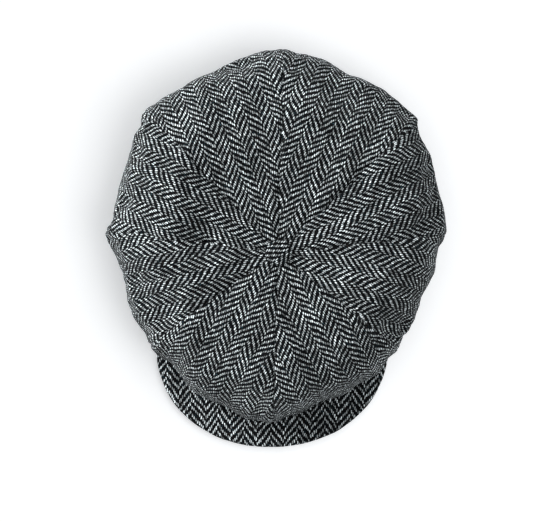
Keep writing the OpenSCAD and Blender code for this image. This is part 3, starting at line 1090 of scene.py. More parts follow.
    def _seam_profile(self, points: np.ndarray, share: np.ndarray, number: int) -> np.ndarray:
        """Groove at the seam, the ridge of its allowance, and its puckers."""
        width = np.linalg.norm(points[:, -1] - points[:, 0], axis=-1)[:, None]
        away = np.minimum(share, 1 - share) * width
        size = np.clip(width / (16 * MM), 0.15, 1.0)
        groove = -self.groove * bump_at(away, self.groove_width)
        ridge = 0.55 * MM * bump_at(away - 4.2 * MM, 3.4 * MM)
        radius = np.linalg.norm(points[..., :2] - self.form.button, axis=-1)
        tucks = np.sin(6 * math.pi * share + 1.3 * number) * bump_at(radius - 17 * MM, 11 * MM)
        step = 0.25 * MM * (1 - ease(np.clip((away - self.allowance) / (2.5 * MM) + 0.5, 0, 1)))
        side = np.where(share < 0.5, number, (number + 1) % 8)
        length = radius + points[..., 2]
        puckers = noise_lines(length, side, 5.5 * MM) * 0.42 * MM * bump_at(away, 5 * MM)
        return size * (groove + ridge + step + puckers) + 0.5 * MM * tucks

    def _sway_seams(
        self, points: np.ndarray, share: np.ndarray, turn: np.ndarray, number: int
    ) -> np.ndarray:
        """Moves the seams sideways a little, alike on both of their panels."""
        chord = unit(points[:, -1] - points[:, 0])
        chord[:, 2] = 0
        length = np.linalg.norm(points[..., :2] - self.form.button, axis=-1)
        total = np.zeros_like(points)
        for edge, near in ((0, 1 - share), (1, share)):
            seam = np.full(share.shape, (number + edge) % 8)
            radius = length[:, -1 if edge else 0][:, None] + 0 * share
            size = np.clip((radius - self.calm_radius) / (30 * MM), 0, 1) * np.clip(2 - turn, 0, 1)
            sway = noise_lines(radius, seam + 20, 24 * MM) * 0.9 * MM * size
            total += (sway * ease(near))[..., None] * chord[:, None, :]
        return points + total

    def _turn_in(
        self, points: np.ndarray, flat: np.ndarray, normals: np.ndarray
    ) -> tuple[np.ndarray, np.ndarray]:
        """Adds a column at each seam that goes down into it."""
        first = points[:, :1] - normals[:, :1] * self.turn_in
        last = points[:, -1:] - normals[:, -1:] * self.turn_in
        points = np.concatenate([first, points, last], axis=1)
        drop = np.array([self.turn_in, 0.0])
        flat = np.concatenate([flat[:, :1] - drop, flat, flat[:, -1:] + drop], axis=1)
        return points, flat


def noise_lines(length: np.ndarray, line: np.ndarray, size: float) -> np.ndarray:
    """Noise along numbered lines, the same wherever the line and length are the same."""
    line = np.broadcast_to(line, length.shape)
    places = np.stack([length / size, line * 7.31, 0 * length], axis=-1)
    flat = [noise.noise(Vector(p)) for p in places.reshape(-1, 3)]
    return np.array(flat).reshape(length.shape) * 1.6


def declare_sheet(
    flat: np.ndarray,
    points: np.ndarray,
    closed: bool = False,
) -> None:
    """Works out a sheet of cloth's cut size and area, which are not kept.

    Args:
        flat: Its flat cutting coordinates.
        points: Its places, for its area.
        closed: Whether its last column joins its first.
    """
    grid = np.concatenate([points, points[:, :1]], axis=1) if closed else points
    one = np.cross(grid[1:, :-1] - grid[:-1, :-1], grid[:-1, 1:] - grid[:-1, :-1])
    two = np.cross(grid[1:, 1:] - grid[1:, :-1], grid[1:, 1:] - grid[:-1, 1:])
    area = float(np.linalg.norm(one, axis=-1).sum() + np.linalg.norm(two, axis=-1).sum()) / 2
    size = np.ptp(flat.reshape(-1, 2), axis=0)
    size *= max(1.0, math.sqrt(area / float(size[0] * size[1])))
    size = [round(float(s), 3) for s in size]
    area = min(area, size[0] * size[1])


# ---------------------------------------------------------------------------
# Button
# ---------------------------------------------------------------------------


def disc_grid(count: int) -> tuple[np.ndarray, np.ndarray]:
    """A square grid mapped evenly on to a disc of radius 1.

    Args:
        count: Rows and columns of the grid.

    Returns:
        Radius and angle at each grid point.
    """
    a, b = np.meshgrid(np.linspace(-1, 1, count), np.linspace(-1, 1, count))
    x, y = a * np.sqrt(1 - b * b / 2), b * np.sqrt(1 - a * a / 2)
    return np.hypot(x, y), np.arctan2(y, x)


@dataclass
class Button:
    """The covered button, with its cloth drawn in under the metal dome."""

    form: CapForm
    rings: int = 65
    cloth: float = 0.9 * MM
    turn: float = 45.0
    weave_shift: float = 37.6 * MM
    edge: float = 0.82
    roundness: float = 0.86
    tuck_stretch: float = 1.3

    def build(self, finishes: Finishes) -> bpy.types.Object:
        """Builds the button's cloth.

        Args:
            finishes: The cap's materials.

        Returns:
            The button's cloth.
        """
        low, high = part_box("button_cover")
        radius, angle = disc_grid(self.rings)
        half = (high.x - low.x) / 2
        foot = low.z + 1.6 * MM
        bend = np.minimum(radius / self.edge, 1.0) * math.pi / 2
        out = half * np.sin(bend) ** self.roundness
        height = foot + (high.z - foot) * np.cos(bend) ** 0.9
        tuck = ease(np.clip((radius - self.edge) / (1 - self.edge), 0, 1))
        height = height - tuck * (foot - low.z - 0.2 * MM)
        out = out - tuck**2 * 0.9 * MM
        points = np.stack([out * np.cos(angle), out * np.sin(angle), height], axis=-1)
        folds = soft_noise(points, 3.2 * MM, 1.3) + 0.7 * np.sin(9 * angle + 2 * np.sin(2 * angle))
        pleat = folds * ease(np.clip((radius - 0.45) / 0.4, 0, 1)) * 0.28 * MM
        dents = 0.35 * MM * soft_noise(points, 7 * MM, 8.0)
        shrink = 1 + ((pleat + dents - 0.35 * MM) / half)[..., None]
        points = points * np.concatenate([np.repeat(shrink, 2, axis=-1), 0 * shrink + 1], axis=-1)
        points[..., 2] += dents - 0.3 * MM
        points[..., 1] += self.form.button[1]
        turn = math.radians(self.turn)
        past_edge = np.clip(radius - self.edge, 0, 1)
        reach = half * (np.sin(bend) ** self.roundness + self.tuck_stretch * past_edge)
        flat = np.stack([reach * np.cos(angle + turn), reach * np.sin(angle + turn)], axis=-1)
        flat[..., 0] += self.weave_shift
        middle = np.array([*self.form.button, low.z])
        piece = weave_grid("button_tweed", points, flat, outward=lambda p: p - middle)
        thicken(piece, self.cloth)
        finish_piece(piece, finishes.tweed, Body.CAP, ["button_cover"])
        declare_sheet(flat, points)
        return piece


# ---------------------------------------------------------------------------
# Headband, sweatband and their stitches
# ---------------------------------------------------------------------------


@dataclass(frozen=True)
class Oval:
    """The headband's oval, with its lower edge that rises towards the front."""

    low: Vector
    high: Vector
    rise: float = 6.5 * MM
    rise_share: float = 0.22

    def plan(self, angle: np.ndarray, inset: np.ndarray | float) -> np.ndarray:
        """Plan points at angles about the oval, moved in by inset."""
        middle = (self.low.y + self.high.y) / 2
        x = (self.high.x - inset) * np.cos(angle)
        y = middle + ((self.high.y - self.low.y) / 2 - inset) * np.sin(angle)
        return np.stack([x, y], axis=-1)

    def lift(self, y: np.ndarray) -> np.ndarray:
        """How far the lower edge is raised at a place along the cap."""
        length = self.high.y - self.low.y
        start = (self.low.y + self.high.y) / 2 - self.rise_share * length
        span = start - self.low.y
        radius = (span**2 + self.rise**2) / (2 * self.rise)
        ahead = np.clip(start - y, 0, span)
        return radius - np.sqrt(radius**2 - ahead**2)


@dataclass(frozen=True)
class BandLayer:
    """One ring of the headband: its depth inside the oval, heights and thickness."""

    name: str
    node: str
    slot: str
    inset: float
    low: float
    high: float
    thickness: float
    wave: float
    wave_size: float


@dataclass
class Headband:
    """The headband's tweed and canvas, the leather sweatband and its tab."""

    columns: int = 260
    rows: int = 15
    tab_inset: float = 5.75 * MM
    tab_turn: float = 4.5
    stitch_inset: float = 4.62 * MM
    stitch_height: float = 3.4 * MM

    def __post_init__(self) -> None:
        """Reads the headband's place from the frame."""
        self.oval = Oval(*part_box("headband_outer"))
        self.centre = (self.oval.low.y + self.oval.high.y) / 2

    def build(self, finishes: Finishes) -> list[bpy.types.Object]:
        """Builds the rings, the tab and the stitches.

        Args:
            finishes: The cap's materials.

        Returns:
            The new pieces.
        """
        top = self.oval.high.z
        layers = (
            (
                BandLayer("headband_tweed", "headband_outer", "tweed", 0.1 * MM, 0.0, top - 0.1 * MM,
                          1.5 * MM, 0.35 * MM, 14 * MM),
                finishes.tweed,
            ),
            (
                BandLayer("headband_stiffening", "headband_canvas", "canvas", 2.25 * MM, 1.5 * MM,
                          top - 1.5 * MM, 0.9 * MM, 0.1 * MM, 30 * MM),
                finishes.canvas,
            ),
            (
                BandLayer("sweatband_leather", "sweatband", "leather", 3.5 * MM, 0.6 * MM,
                          top + 4 * MM, 1.1 * MM, 0.25 * MM, 22 * MM),
                finishes.leather,
            ),
        )
        pieces = [self._ring(layer, material) for layer, material in layers]
        pieces.append(self._tab(finishes))
        pieces.append(self._stitches(finishes))
        return pieces

    def _ring(self, layer: BandLayer, material: bpy.types.Material) -> bpy.types.Object:
        """One ring, its lower edge raised towards the front."""
        angle = np.arange(self.columns) * 2 * math.pi / self.columns
        share = np.linspace(0, 1, self.rows)[:, None]
        plan = self.oval.plan(angle, layer.inset)
        bottom = layer.low + self.oval.lift(plan[:, 1])
        z = bottom + (layer.high - bottom) * share
        points = np.concatenate([np.broadcast_to(plan, (*z.shape, 2)), z[..., None]], axis=-1)
        wave = soft_noise(points * [1, 1, 2], layer.wave_size, 2.0)
        swell = -np.abs(wave) * layer.wave * np.sin(math.pi * share)
        roll = -0.5 * layer.thickness * (1 - np.sin(math.pi * np.clip(share / 0.16, 0, 1) / 2))
        flat_inwards = -unit(plan - [0, self.centre])
        inwards = np.concatenate([flat_inwards, np.zeros((self.columns, 1))], axis=-1)
        points = points - inwards[None] * (swell + roll)[..., None]
        around = np.linalg.norm(np.diff(np.vstack([plan, plan[:1]]), axis=0), axis=-1)
        along = np.concatenate([[0.0], np.cumsum(around)])
        high_z = np.concatenate([z, z[:, :1]], axis=1)
        flat = np.stack([np.broadcast_to(along, high_z.shape), high_z], axis=-1)
        middle = np.array([0.0, self.centre, layer.high / 2])
        piece = weave_grid(
            layer.name, points, flat, closed=True, outward=lambda p: (p - middle) * [1, 1, 0]
        )
        thicken(piece, layer.thickness)
        self.follow_peak(piece)
        finish_piece(piece, material, None, [layer.node])
        declare_sheet(flat, points, closed=True)
        return piece

    def follow_peak(self, piece: bpy.types.Object) -> None:
        """Moves the piece's place, turn and scale into its mesh."""
        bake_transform(piece)

    def _tab(self, finishes: Finishes) -> bpy.types.Object:
        """The leather tab over the sweatband's joint at the back."""
        low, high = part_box("sweatband_tab")
        half = math.radians(self.tab_turn)
        angle, z = np.meshgrid(
            np.linspace(math.pi / 2 - half, math.pi / 2 + half, 17), np.linspace(low.z, high.z, 21)
        )
        plan = self.oval.plan(angle, self.tab_inset)
        plan[..., 1] += 0.25 * MM * np.sin(math.pi * (z - low.z) / (high.z - low.z))
        points = np.concatenate([plan, z[..., None]], axis=-1)
        flat = np.stack([plan[..., 0], z], axis=-1)
        piece = weave_grid(
            "sweatband_joint_tab", points, flat, outward=lambda p: p * 0 - [0, 1, 0]
        )
        solid = piece.modifiers.new("thickness", "SOLIDIFY")
        solid.thickness = 0.8 * MM
        solid.offset = -1.0
        edge = piece.modifiers.new("edge", "BEVEL")
        edge.width = 0.25 * MM
        edge.segments = 2
        apply_modifiers(piece)
        shade(piece, 50)
        finish_piece(piece, finishes.leather, Body.CAP, ["sweatband_tab"])
        declare_sheet(flat, points)
        return piece

    def _stitches(self, finishes: Finishes) -> bpy.types.Object:
        """The row of stitches round the sweatband near its lower edge."""
        angle = np.linspace(0, 2 * math.pi, 1441)
        plan = self.oval.plan(angle, self.stitch_inset)
        z = self.stitch_height + self.oval.lift(plan[:, 1])
        line = np.concatenate([plan, z[:, None]], axis=-1)
        piece = Stitches("sweatband_stitches", 3.6 * MM, 2.5 * MM, 0.22 * MM).along([line])
        self.follow_peak(piece)
        finish_piece(piece, finishes.thread, None)
        return piece


@dataclass(frozen=True)
class Stitches:
    """A row of short threads that rise and dive along a line."""

    name: str
    pitch: float
    length: float
    radius: float
    sides: int = 5
    steps: int = 5

    def along(self, lines: Sequence[np.ndarray]) -> bpy.types.Object:
        """Sews stitches along lines of places.

        Args:
            lines: Lines to follow, each many places long.

        Returns:
            One piece with all the stitches.
        """
        places: list[np.ndarray] = []
        faces: list[tuple[int, ...]] = []
        for line in lines:
            run = np.concatenate([[0], np.cumsum(np.linalg.norm(np.diff(line, axis=0), axis=1))])
            for start in np.arange(self.pitch / 2, run[-1] - self.length, self.pitch):
                at = start + self.length * np.linspace(0, 1, self.steps)
                spine = np.stack([np.interp(at, run, line[:, k]) for k in range(3)], axis=-1)
                self._thread(spine, places, faces)
        mesh = bpy.data.meshes.new(self.name)
        mesh.from_pydata(np.concatenate(places).tolist(), [], faces)
        piece = bpy.data.objects.new(self.name, mesh)
        bpy.context.scene.collection.objects.link(piece)
        shade(piece)
        return piece

    def _thread(self, spine: np.ndarray, places: list[np.ndarray], faces: list) -> None:
        """Adds one closed thread that is thin at both of its ends."""
        along = unit(np.gradient(spine, axis=0))
        side = unit(np.cross(along, [0.0, 0.0, 1.0]))
        up = np.cross(side, along)
        first = sum(len(p) for p in places)
        turn = np.arange(self.sides) * 2 * math.pi / self.sides
        swell = self.radius * np.sin(math.pi * np.linspace(0.12, 0.88, self.steps)) ** 0.6
        ring = np.cos(turn)[None, :, None] * side[:, None] + np.sin(turn)[None, :, None] * up[:, None]
        places.append((spine[:, None] + swell[:, None, None] * ring).reshape(-1, 3))
        n = self.sides
        for k in range(self.steps - 1):
            for s in range(n):
                a, b = first + k * n + s, first + k * n + (s + 1) % n
                faces.append((a, b, b + n, a + n))
        last = first + (self.steps - 1) * n
        faces.append(tuple(first + s for s in reversed(range(n))))
        faces.append(tuple(last + s for s in range(n)))


# ---------------------------------------------------------------------------
# Peak
# ---------------------------------------------------------------------------


@dataclass
class Peak:
    """The stiff peak: a board between a top cover and an under cover of tweed."""

    form: CapForm
    columns: int = 129
    rows: int = 30
    gap: float = 0.9 * MM
    thick: float = 4.6 * MM
    seam_rise: float = 10 * MM
    tip_rise: float = 9.5 * MM
    horn_rise: float = 2.5 * MM
    edge_turn: float = 118.5
    round: float = 2.1
    cover: float = 1.1 * MM
    horn_share: float = 0.21
    middle_share: float = 0.48
    fullness: float = 2.2 * MM
    lean: float = 2.4 * MM
    tilt: float = 0.02
    weave_pull: tuple[float, float] = (0.93, 0.82)
    weave_shift: float = 1.9 * MM
    rim: float = 3.2 * MM
    crowding: float = 0.94
    horn_end: float = 0.995

    def __post_init__(self) -> None:
        """Works out the peak's outline from the frame."""
        low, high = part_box("peak_top_cover")
        self.half = (high.x - low.x) / 2
        self.front = low.y
        self.band_middle = (self.form.band_low.y + self.form.band_high.y) / 2
        self.band_half = Vector((self.form.band_high.x, self.form.band_high.y - self.band_middle))
        self.horn = self.band_middle - 2 * self.band_half.y * self.horn_share
        self.middle = self.form.button[1] - self.middle_share * (self.form.button[1] - self.front)
        self.inner_turn = math.acos((self.band_middle - self.horn) / (self.band_half.y + self.gap))

    def inner(self, u: np.ndarray) -> np.ndarray:
        """Plan points of the seam at the headband, for u from -1 to 1."""
        turn = self.inner_turn * u
        x = (self.band_half.x + self.gap) * np.sin(turn)
        return np.stack([x, self.band_middle - (self.band_half.y + self.gap) * np.cos(turn)], axis=-1)

    def outer(self, u: np.ndarray) -> np.ndarray:
        """Plan points of the peak's free edge."""
        turn = np.radians(self.edge_turn) * u
        side = np.abs(np.sin(turn)) ** (2 / self.round)
        ahead = np.abs(np.cos(turn)) ** (2 / self.round)
        reach = self.middle - self.front
        y = self.middle - reach * np.where(np.cos(turn) > 0, ahead, -0.83 * ahead)
        edge = np.stack([self.half * side * np.sign(u), y], axis=-1)
        out = unit(edge - [0.0, self.middle])
        near_seam = np.clip((1 - np.abs(u)) / 0.12, 0, 1)[..., None]
        aside = np.stack([0 * edge[..., 0] - self.lean, self.tilt * edge[..., 0]], axis=-1)
        return edge + near_seam * (out * self.fullness + aside)

    def point(self, u: np.ndarray, w: np.ndarray, height: np.ndarray) -> np.ndarray:
        """Places on the peak, at a height above its underside."""
        a, b = self.inner(u), self.outer(u)
        plan = a + (b - a) * w[..., None]
        rise = self.seam_rise + (self.tip_rise - self.seam_rise) * w
        z = self.horn_rise + (1 - u * u) * (rise - self.horn_rise) + height
        return np.concatenate([plan, z[..., None]], axis=-1)

    def build(self, finishes: Finishes) -> list[bpy.types.Object]:
        """Builds both covers.

        Args:
            finishes: The cap's materials.

        Returns:
            The new pieces.
        """
        top = self._cover("peak_top_tweed", "peak_top_cover", True, finishes)
        under = self._cover("peak_under_tweed", "peak_under_cover", False, finishes)
        return [top, under]

    def _cover(self, name: str, node: str, up: bool, finishes: Finishes) -> bpy.types.Object:
        """One cover: a sheet whose rim turns over the board's edge."""
        widest = math.pi / 2 * self.crowding
        across = np.linspace(-1, 1, self.columns) * math.pi / 2 * self.crowding
        u = np.sin(across) / math.sin(widest)
        u = u * self.horn_end
        shares = np.linspace(0, 1, self.rows)
        turn_rows = np.linspace(0, 1, 9)[1:]
        span = np.linalg.norm(self.outer(u) - self.inner(u), axis=-1)
        rim = np.clip(self.rim / span, 0, 0.4)
        w_flat = shares[:, None] * (1 - rim)[None]
        bend = turn_rows[:, None] * math.pi / 2
        w_rim = (1 - rim)[None] + rim[None] * np.sin(bend)
        w = np.concatenate([w_flat, w_rim])
        half = self.thick / 2 - 0.12 * MM
        drop = np.concatenate([np.zeros_like(w_flat), half * (1 - np.cos(bend)) + 0 * w_rim])
        grid_u = np.broadcast_to(u, w.shape)
        height = (self.thick - drop) if up else drop
        points = self.point(grid_u, w, height)
        normals = grid_normals(points)
        facing = 1.0 if up else -1.0
        normals = normals * (facing * np.sign(normals[5, self.columns // 2, 2]))
        fade = np.clip(span / (30 * MM), 0, 1)[None] * np.clip(w * 6, 0, 1)
        soft = 0.45 * MM * soft_noise(points, 16 * MM, 4.4 if up else 7.7) - 0.35 * MM
        edge_away = (1 - w) * span[None]
        ridge = 0.25 * MM * bump_at(edge_away - 6.5 * MM, 3 * MM)
        ridge = ridge - 0.3 * MM * bump_at(edge_away - 2.6 * MM, 1.6 * MM)
        scallop = 0.22 * MM * soft_noise(points, 5 * MM, 6.1) * bump_at(edge_away, 5 * MM)
        points = points + normals * ((soft + ridge + scallop) * fade)[..., None]
        lengths = np.linalg.norm(np.diff(points, axis=0), axis=-1)
        plan_steps = np.linalg.norm(np.diff(points[..., :2], axis=0), axis=-1)
        extra = np.cumsum(lengths - plan_steps, axis=0)
        out = unit(self.outer(u) - self.inner(u))
        flat = points[..., :2].copy()
        flat[1:] += extra[..., None] * out[None]
        weave = flat * self.weave_pull + [self.weave_shift if up else 0.0, 0.0]
        sign = np.array([0.0, 0.0, 1.0 if up else -1.0])
        piece = weave_grid(name, points, weave, outward=lambda p: np.broadcast_to(sign, p.shape))
        thicken(piece, self.cover)
        finish_piece(piece, finishes.tweed, Body.PEAK, [node])
        declare_sheet(flat, points)
        return piece


# ---------------------------------------------------------------------------
# Lining
# ---------------------------------------------------------------------------


@dataclass
class Lining:
    """The satin lining: a gathered side wall, a flat tip and a plain woven label."""

    form: CapForm
    crown: Crown
    depth: float = 6 * MM
    satin: float = 0.5 * MM
    tip_share: float = 0.78
    per_panel: int = 40
    last_turn: float = 1.995
    pleats: int = 58

    def build(self, finishes: Finishes) -> list[bpy.types.Object]:
        """Builds the lining's three pieces.

        Args:
            finishes: The cap's materials.

        Returns:
            The new pieces.
        """
        return [self._side(finishes), self._tip(finishes), self._label(finishes)]

    def _tip_turn(self, panel: int, share: np.ndarray) -> np.ndarray:
        """Turn at which the tip ends."""
        roundness = self.form.across(panel, share, "roundness")
        reach = np.linalg.norm(self.form.rim(panel, share), axis=-1)
        ratio = self.tip_share * reach / (reach - self.depth)
        return np.arcsin(ratio ** (roundness / 2)) / (math.pi / 2)

    def _sunk(self, points: np.ndarray, turn: np.ndarray) -> np.ndarray:
        """Points lowered where a fold of the crown presses the lining down."""
        lowered = points.copy()
        lowered[..., 2] += np.minimum(self.crown.fold_at(points, turn), 0)
        return lowered

    def _side(self, finishes: Finishes) -> bpy.types.Object:
        """The side wall, gathered into the tip and into the sweatband."""
        share = np.arange(self.per_panel) / self.per_panel
        rows = np.linspace(0, 1, 46)[:, None]
        parts, turns = [], []
        for panel in range(8):
            start = self._tip_turn(panel, share)[None]
            turn = start + (self.last_turn - start) * rows
            parts.append(self.form.surface(panel, share[None], turn, self.depth + 0.3 * MM))
            turns.append(turn)
        points = self._sunk(np.concatenate(parts, axis=1), np.concatenate(turns, axis=1))
        normals = -grid_normals(points, closed=True)
        if normals[2, 5, 2] < 0:
            normals = -normals
        around = np.arange(points.shape[1]) / points.shape[1] * 2 * math.pi
        pleats = np.sin(self.pleats * around + 3 * np.sin(5 * around))
        pleats = pleats * (0.6 + 0.4 * np.sin(7 * around + 1))
        near = bump_at(rows, 0.16) + 1.2 * bump_at(1 - rows, 0.22)
        slack = 0.7 * MM + 0.8 * MM * soft_noise(points, 20 * MM, 3.0)
        lift = -slack * np.sin(math.pi * rows) ** 0.5
        lift = lift + pleats[None] * near * 0.55 * MM - 0.3 * MM * near
        points = points + normals * lift[..., None]
        steps = np.linalg.norm(np.diff(points, axis=0), axis=-1)
        down = np.concatenate([np.zeros((1, points.shape[1])), np.cumsum(steps, axis=0)])
        down = np.concatenate([down, down[:, :1]], axis=1)
        ring = np.linalg.norm(np.diff(np.concatenate([points[20], points[20, :1]]), axis=0), axis=-1)
        along = np.concatenate([[0.0], np.cumsum(ring)])
        flat = np.stack([np.broadcast_to(along, down.shape), down], axis=-1)
        middle = np.array([*self.form.button, 55 * MM])
        piece = weave_grid("lining_side_satin", points, flat, closed=True, outward=lambda p: middle - p)
        thicken(piece, self.satin)
        finish_piece(piece, finishes.satin, Body.CAP, ["lining_side"])
        declare_sheet(flat, points, closed=True)
        return piece

    def _tip(self, finishes: Finishes) -> bpy.types.Object:
        """The flat tip across the crown's top."""
        radius, angle = disc_grid(81)
        points = np.zeros((*radius.shape, 3))
        seam_angles = [math.atan2(s.end[1], s.end[0]) for s in self.form.seams]
        share_of = np.zeros_like(radius)
        panel_of = np.zeros(radius.shape, int)
        for panel in range(8):
            start, end = seam_angles[panel], seam_angles[(panel + 1) % 8]
            width = (start - end) % (2 * math.pi)
            past = (start - angle) % (2 * math.pi)
            inside = past <= width + 1e-9
            share_of = np.where(inside, past / width, share_of)
            panel_of = np.where(inside, panel, panel_of)
        for panel in range(8):
            here = panel_of == panel
            share = np.clip(share_of[here], 0, 1)
            turn = self._tip_turn(panel, share) * radius[here] * 0.995
            points[here] = self.form.surface(panel, share, turn, self.depth + 0.2 * MM)
        points[..., 2] -= 0.8 * MM * (1 + soft_noise(points, 24 * MM, 6.0)) * (1 - radius**6)
        points = self._sunk(points, np.zeros_like(radius))
        flat = points[..., :2].copy()
        piece = weave_grid("lining_tip_satin", points, flat, outward=lambda p: p * 0 - [0, 0, 1])
        thicken(piece, self.satin)
        finish_piece(piece, finishes.satin, Body.CAP, ["lining_tip"])
        declare_sheet(flat, points)
        return piece

    def _label(self, finishes: Finishes) -> bpy.types.Object:
        """The blank woven label."""
        low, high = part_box("lining_label")
        x, y = np.meshgrid(np.linspace(low.x, high.x, 41), np.linspace(low.y, high.y, 21))
        slope = (high.z - low.z - 0.5 * MM) / (high.y - low.y)
        z = low.z - 1.9 * MM + (high.y - y) * abs(slope)
        points = self._sunk(np.stack([x, y, z], axis=-1), np.zeros_like(x))
        flat = points[..., :2].copy()
        piece = weave_grid("lining_label_cloth", points, flat, outward=lambda p: p * 0 - [0, 0, 1])
        thicken(piece, 0.45 * MM)
        finish_piece(piece, finishes.label, Body.CAP, ["lining_label"])
        declare_sheet(flat, points)
        return piece


# ---------------------------------------------------------------------------
# Hidden hardware
# ---------------------------------------------------------------------------


class Hardware:
    """The button's metal, the round stay, the board and the press stud."""

    def build(self, finishes: Finishes) -> None:
        """Dresses the frame's own hard pieces and builds the rest.

        Args:
            finishes: The cap's materials.
        """
        for node, material in (
            ("button_shell", finishes.steel),
            ("button_back", finishes.steel),
            ("peak_board", finishes.board),
        ):
            self.dress(node, material)
        self._stay(finishes)
        self._stud(finishes)
        self._socket(finishes)

    @staticmethod
    def dress(node: str, material: bpy.types.Material) -> None:
        """Gives a piece of the frame a better material."""
        mesh = bpy.data.objects[node].data
        mesh.materials.clear()
        mesh.materials.append(material)

    def _stay(self, finishes: Finishes) -> None:
        """The round cloth stay under the crown's centre, with a pinked edge."""
        low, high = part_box("crown_patch")
        radius, angle = disc_grid(41)
        half = (high.x - low.x) / 2
        out = radius * half * (1 - 0.03 * (1 + np.sin(24 * angle)) * radius**8)
        middle = (low + high) / 2
        points = np.stack(
            [out * np.cos(angle), middle.y + out * np.sin(angle), 0 * out + high.z], axis=-1
        )
        flat = points[..., :2].copy()
        piece = weave_grid("crown_stay_cloth", points, flat, outward=lambda p: p * 0 + [0, 0, 1])
        thicken(piece, high.z - low.z)
        finish_piece(piece, finishes.stay, Body.CAP, ["crown_patch"])
        declare_sheet(flat, points)

    def _stud(self, finishes: Finishes) -> None:
        """The ball half of the press stud, on the peak."""
        low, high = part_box("snap_stud")
        middle = (low + high) / 2
        radius = (high.x - low.x) / 2
        foot = Vector((middle.x, middle.y, low.z + 0.4 * MM))
        flange = self._disc("stud_flange", radius, 0.8 * MM, foot)
        bpy.ops.mesh.primitive_uv_sphere_add(
            segments=32,
            ring_count=16,
            radius=1.75 * MM,
            location=(middle.x, middle.y, high.z - 1.45 * MM),
        )
        ball = bpy.context.object
        ball.scale.z = 0.8
        settle(ball)
        piece = self._join([flange, ball], "press_stud_ball")
        shade(piece, 40)
        finish_piece(piece, finishes.gunmetal, Body.PEAK, ["snap_stud"])

    def _socket(self, finishes: Finishes) -> None:
        """The socket half of the press stud, under the crown's front fold."""
        low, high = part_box("snap_socket")
        middle = (low + high) / 2
        radius = (high.x - low.x) / 2
        bpy.ops.mesh.primitive_torus_add(
            major_radius=3.2 * MM,
            minor_radius=0.75 * MM,
            major_segments=48,
            minor_segments=12,
            location=(middle.x, middle.y, low.z + 0.8 * MM),
        )
        ring = bpy.context.object
        settle(ring)
        base = self._disc(
            "socket_base", radius, 0.7 * MM, Vector((middle.x, middle.y, high.z - 0.4 * MM))
        )
        piece = self._join([base, ring], "press_stud_socket")
        shade(piece, 40)
        finish_piece(piece, finishes.gunmetal, Body.CAP, ["snap_socket"])

    @staticmethod
    def _disc(name: str, radius: float, height: float, place: Vector) -> bpy.types.Object:
        """A round plate with rounded edges."""
        bpy.ops.mesh.primitive_cylinder_add(vertices=48, radius=radius, depth=height, location=place)
        plate = bpy.context.object
        plate.name = name
        settle(plate)
        rounded = plate.modifiers.new("edge", "BEVEL")
        rounded.width = 0.2 * MM
        rounded.segments = 3
        apply_modifiers(plate)
        return plate

    @staticmethod
    def _join(pieces: Sequence[bpy.types.Object], name: str) -> bpy.types.Object:
        """Joins pieces into the first of them."""
        make_active(pieces[0])
        for piece in pieces:
            piece.select_set(True)
        bpy.ops.object.join()
        bpy.context.object.name = name
        return bpy.context.object


# ---------------------------------------------------------------------------
# Studio
# ---------------------------------------------------------------------------


@dataclass(frozen=True)
class Lamp:
    """A square soft lamp that faces the cap, and how it treats the floor."""

    name: str
    place: tuple[float, float, float]
    size: float
    power: float
    floor_link: str | None = None

    def build(self, floor: bpy.types.Object) -> None:
        """Hangs the lamp. With a floor_link it leaves the floor out or lights only it."""
        light = bpy.data.lights.new(self.name, "AREA")
        light.size = self.size
        light.energy = self.power
        holder = bpy.data.objects.new(self.name, light)
        holder.location = self.place
        holder.rotation_euler = (-Vector(self.place)).to_track_quat("-Z", "Y").to_euler()
        bpy.context.scene.collection.objects.link(holder)
        if self.floor_link:
            receivers = bpy.data.collections.new(self.name + "_receivers")
            receivers.objects.link(floor)
            holder.light_linking.receiver_collection = receivers
            receivers.collection_objects[0].light_linking.link_state = self.floor_link


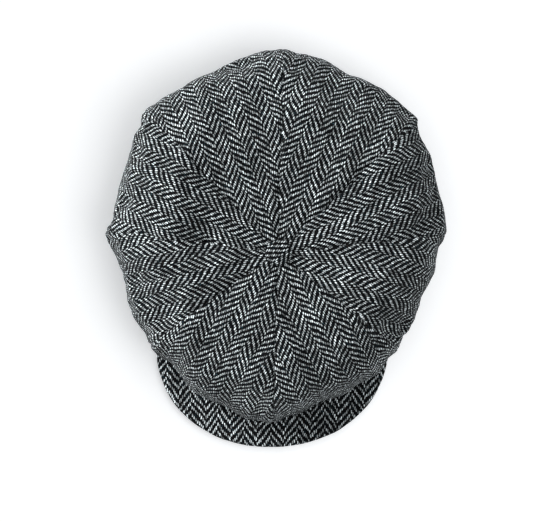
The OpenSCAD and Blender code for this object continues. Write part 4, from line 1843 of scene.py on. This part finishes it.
@dataclass
class Studio:
    """A pale floor, an even sky, three soft lamps and a camera that looks straight down."""

    floor_colour: tuple[float, float, float] = (0.93, 0.94, 0.95)
    floor_glow: float = 0.33
    sky: float = 0.30
    backdrop: float = 0.9
    camera_height: float = 2.2
    view_width: float = 0.4385
    aim: tuple[float, float] = (-2.8 * MM, -10.8 * MM)
    roll: float = 1.6
    sensor: float = 36.0
    focus_height: float = 47 * MM
    lamps: tuple[Lamp, ...] = (
        Lamp("key_lamp", (-2.75, 1.5, 2.3), 1.3, 196.0, "EXCLUDE"),
        Lamp("fill_lamp", (0.9, -0.4, 2.1), 1.2, 13.0),
        Lamp("floor_lamp", (0.2, 0.1, 1.9), 2.4, 18.5, "INCLUDE"),
    )

    def build(self) -> None:
        """Builds the floor, the sky, the lamps and the camera."""
        floor = self._floor()
        self._sky()
        for lamp in self.lamps:
            lamp.build(floor)
        self._camera()
        bpy.context.scene.view_settings.view_transform = "Standard"

    def _floor(self) -> bpy.types.Object:
        """The floor that the cap stands on."""
        bpy.ops.mesh.primitive_plane_add(size=6)
        floor = bpy.context.object
        floor.name = "studio_floor"
        g = Graph("studio_floor", self.floor_colour)
        floor.data.materials.append(
            g.surface(
                Base_Color=(*self.floor_colour, 1.0),
                Roughness=0.9,
                Specular_IOR_Level=0.1,
                Emission_Color=(*self.floor_colour, 1.0),
                Emission_Strength=self.floor_glow,
            )
        )
        return floor

    def _sky(self) -> None:
        """An even sky that looks brighter behind the cap than the light it gives."""
        world = bpy.data.worlds.new("studio_sky")
        world.use_nodes = True
        tree = world.node_tree
        background = tree.nodes["Background"]
        background.inputs["Color"].default_value = (0.97, 0.985, 1.0, 1.0)
        seen = tree.nodes.new("ShaderNodeLightPath").outputs["Is Camera Ray"]
        strength = tree.nodes.new("ShaderNodeMapRange")
        strength.inputs["To Min"].default_value = self.sky
        strength.inputs["To Max"].default_value = self.backdrop
        tree.links.new(seen, strength.inputs["Value"])
        tree.links.new(strength.outputs["Result"], background.inputs["Strength"])
        bpy.context.scene.world = world

    def _camera(self) -> None:
        """The camera above the cap, turned very slightly."""
        lens = bpy.data.cameras.new("camera")
        lens.sensor_width = self.sensor
        lens.lens = self.sensor * (self.camera_height - self.focus_height) / self.view_width
        lens.clip_end = 20.0
        camera = bpy.data.objects.new("camera", lens)
        camera.location = (self.aim[0], self.aim[1], self.camera_height)
        camera.rotation_euler = (0.0, 0.0, math.radians(self.roll))
        bpy.context.scene.collection.objects.link(camera)
        bpy.context.scene.camera = camera


def main() -> None:
    """Builds the cap on its frame."""
    logging.basicConfig(level=logging.INFO, format="%(message)s")
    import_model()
    form = CapForm()
    drape = CrownDrape(form)
    drape.relax()
    finishes = Finishes()
    crown = Crown(form, drape)
    crown.build(finishes)
    Button(form).build(finishes)
    Headband().build(finishes)
    Peak(form).build(finishes)
    Lining(form, crown).build(finishes)
    Hardware().build(finishes)
    Studio().build()


if __name__ == "__main__":
    main()
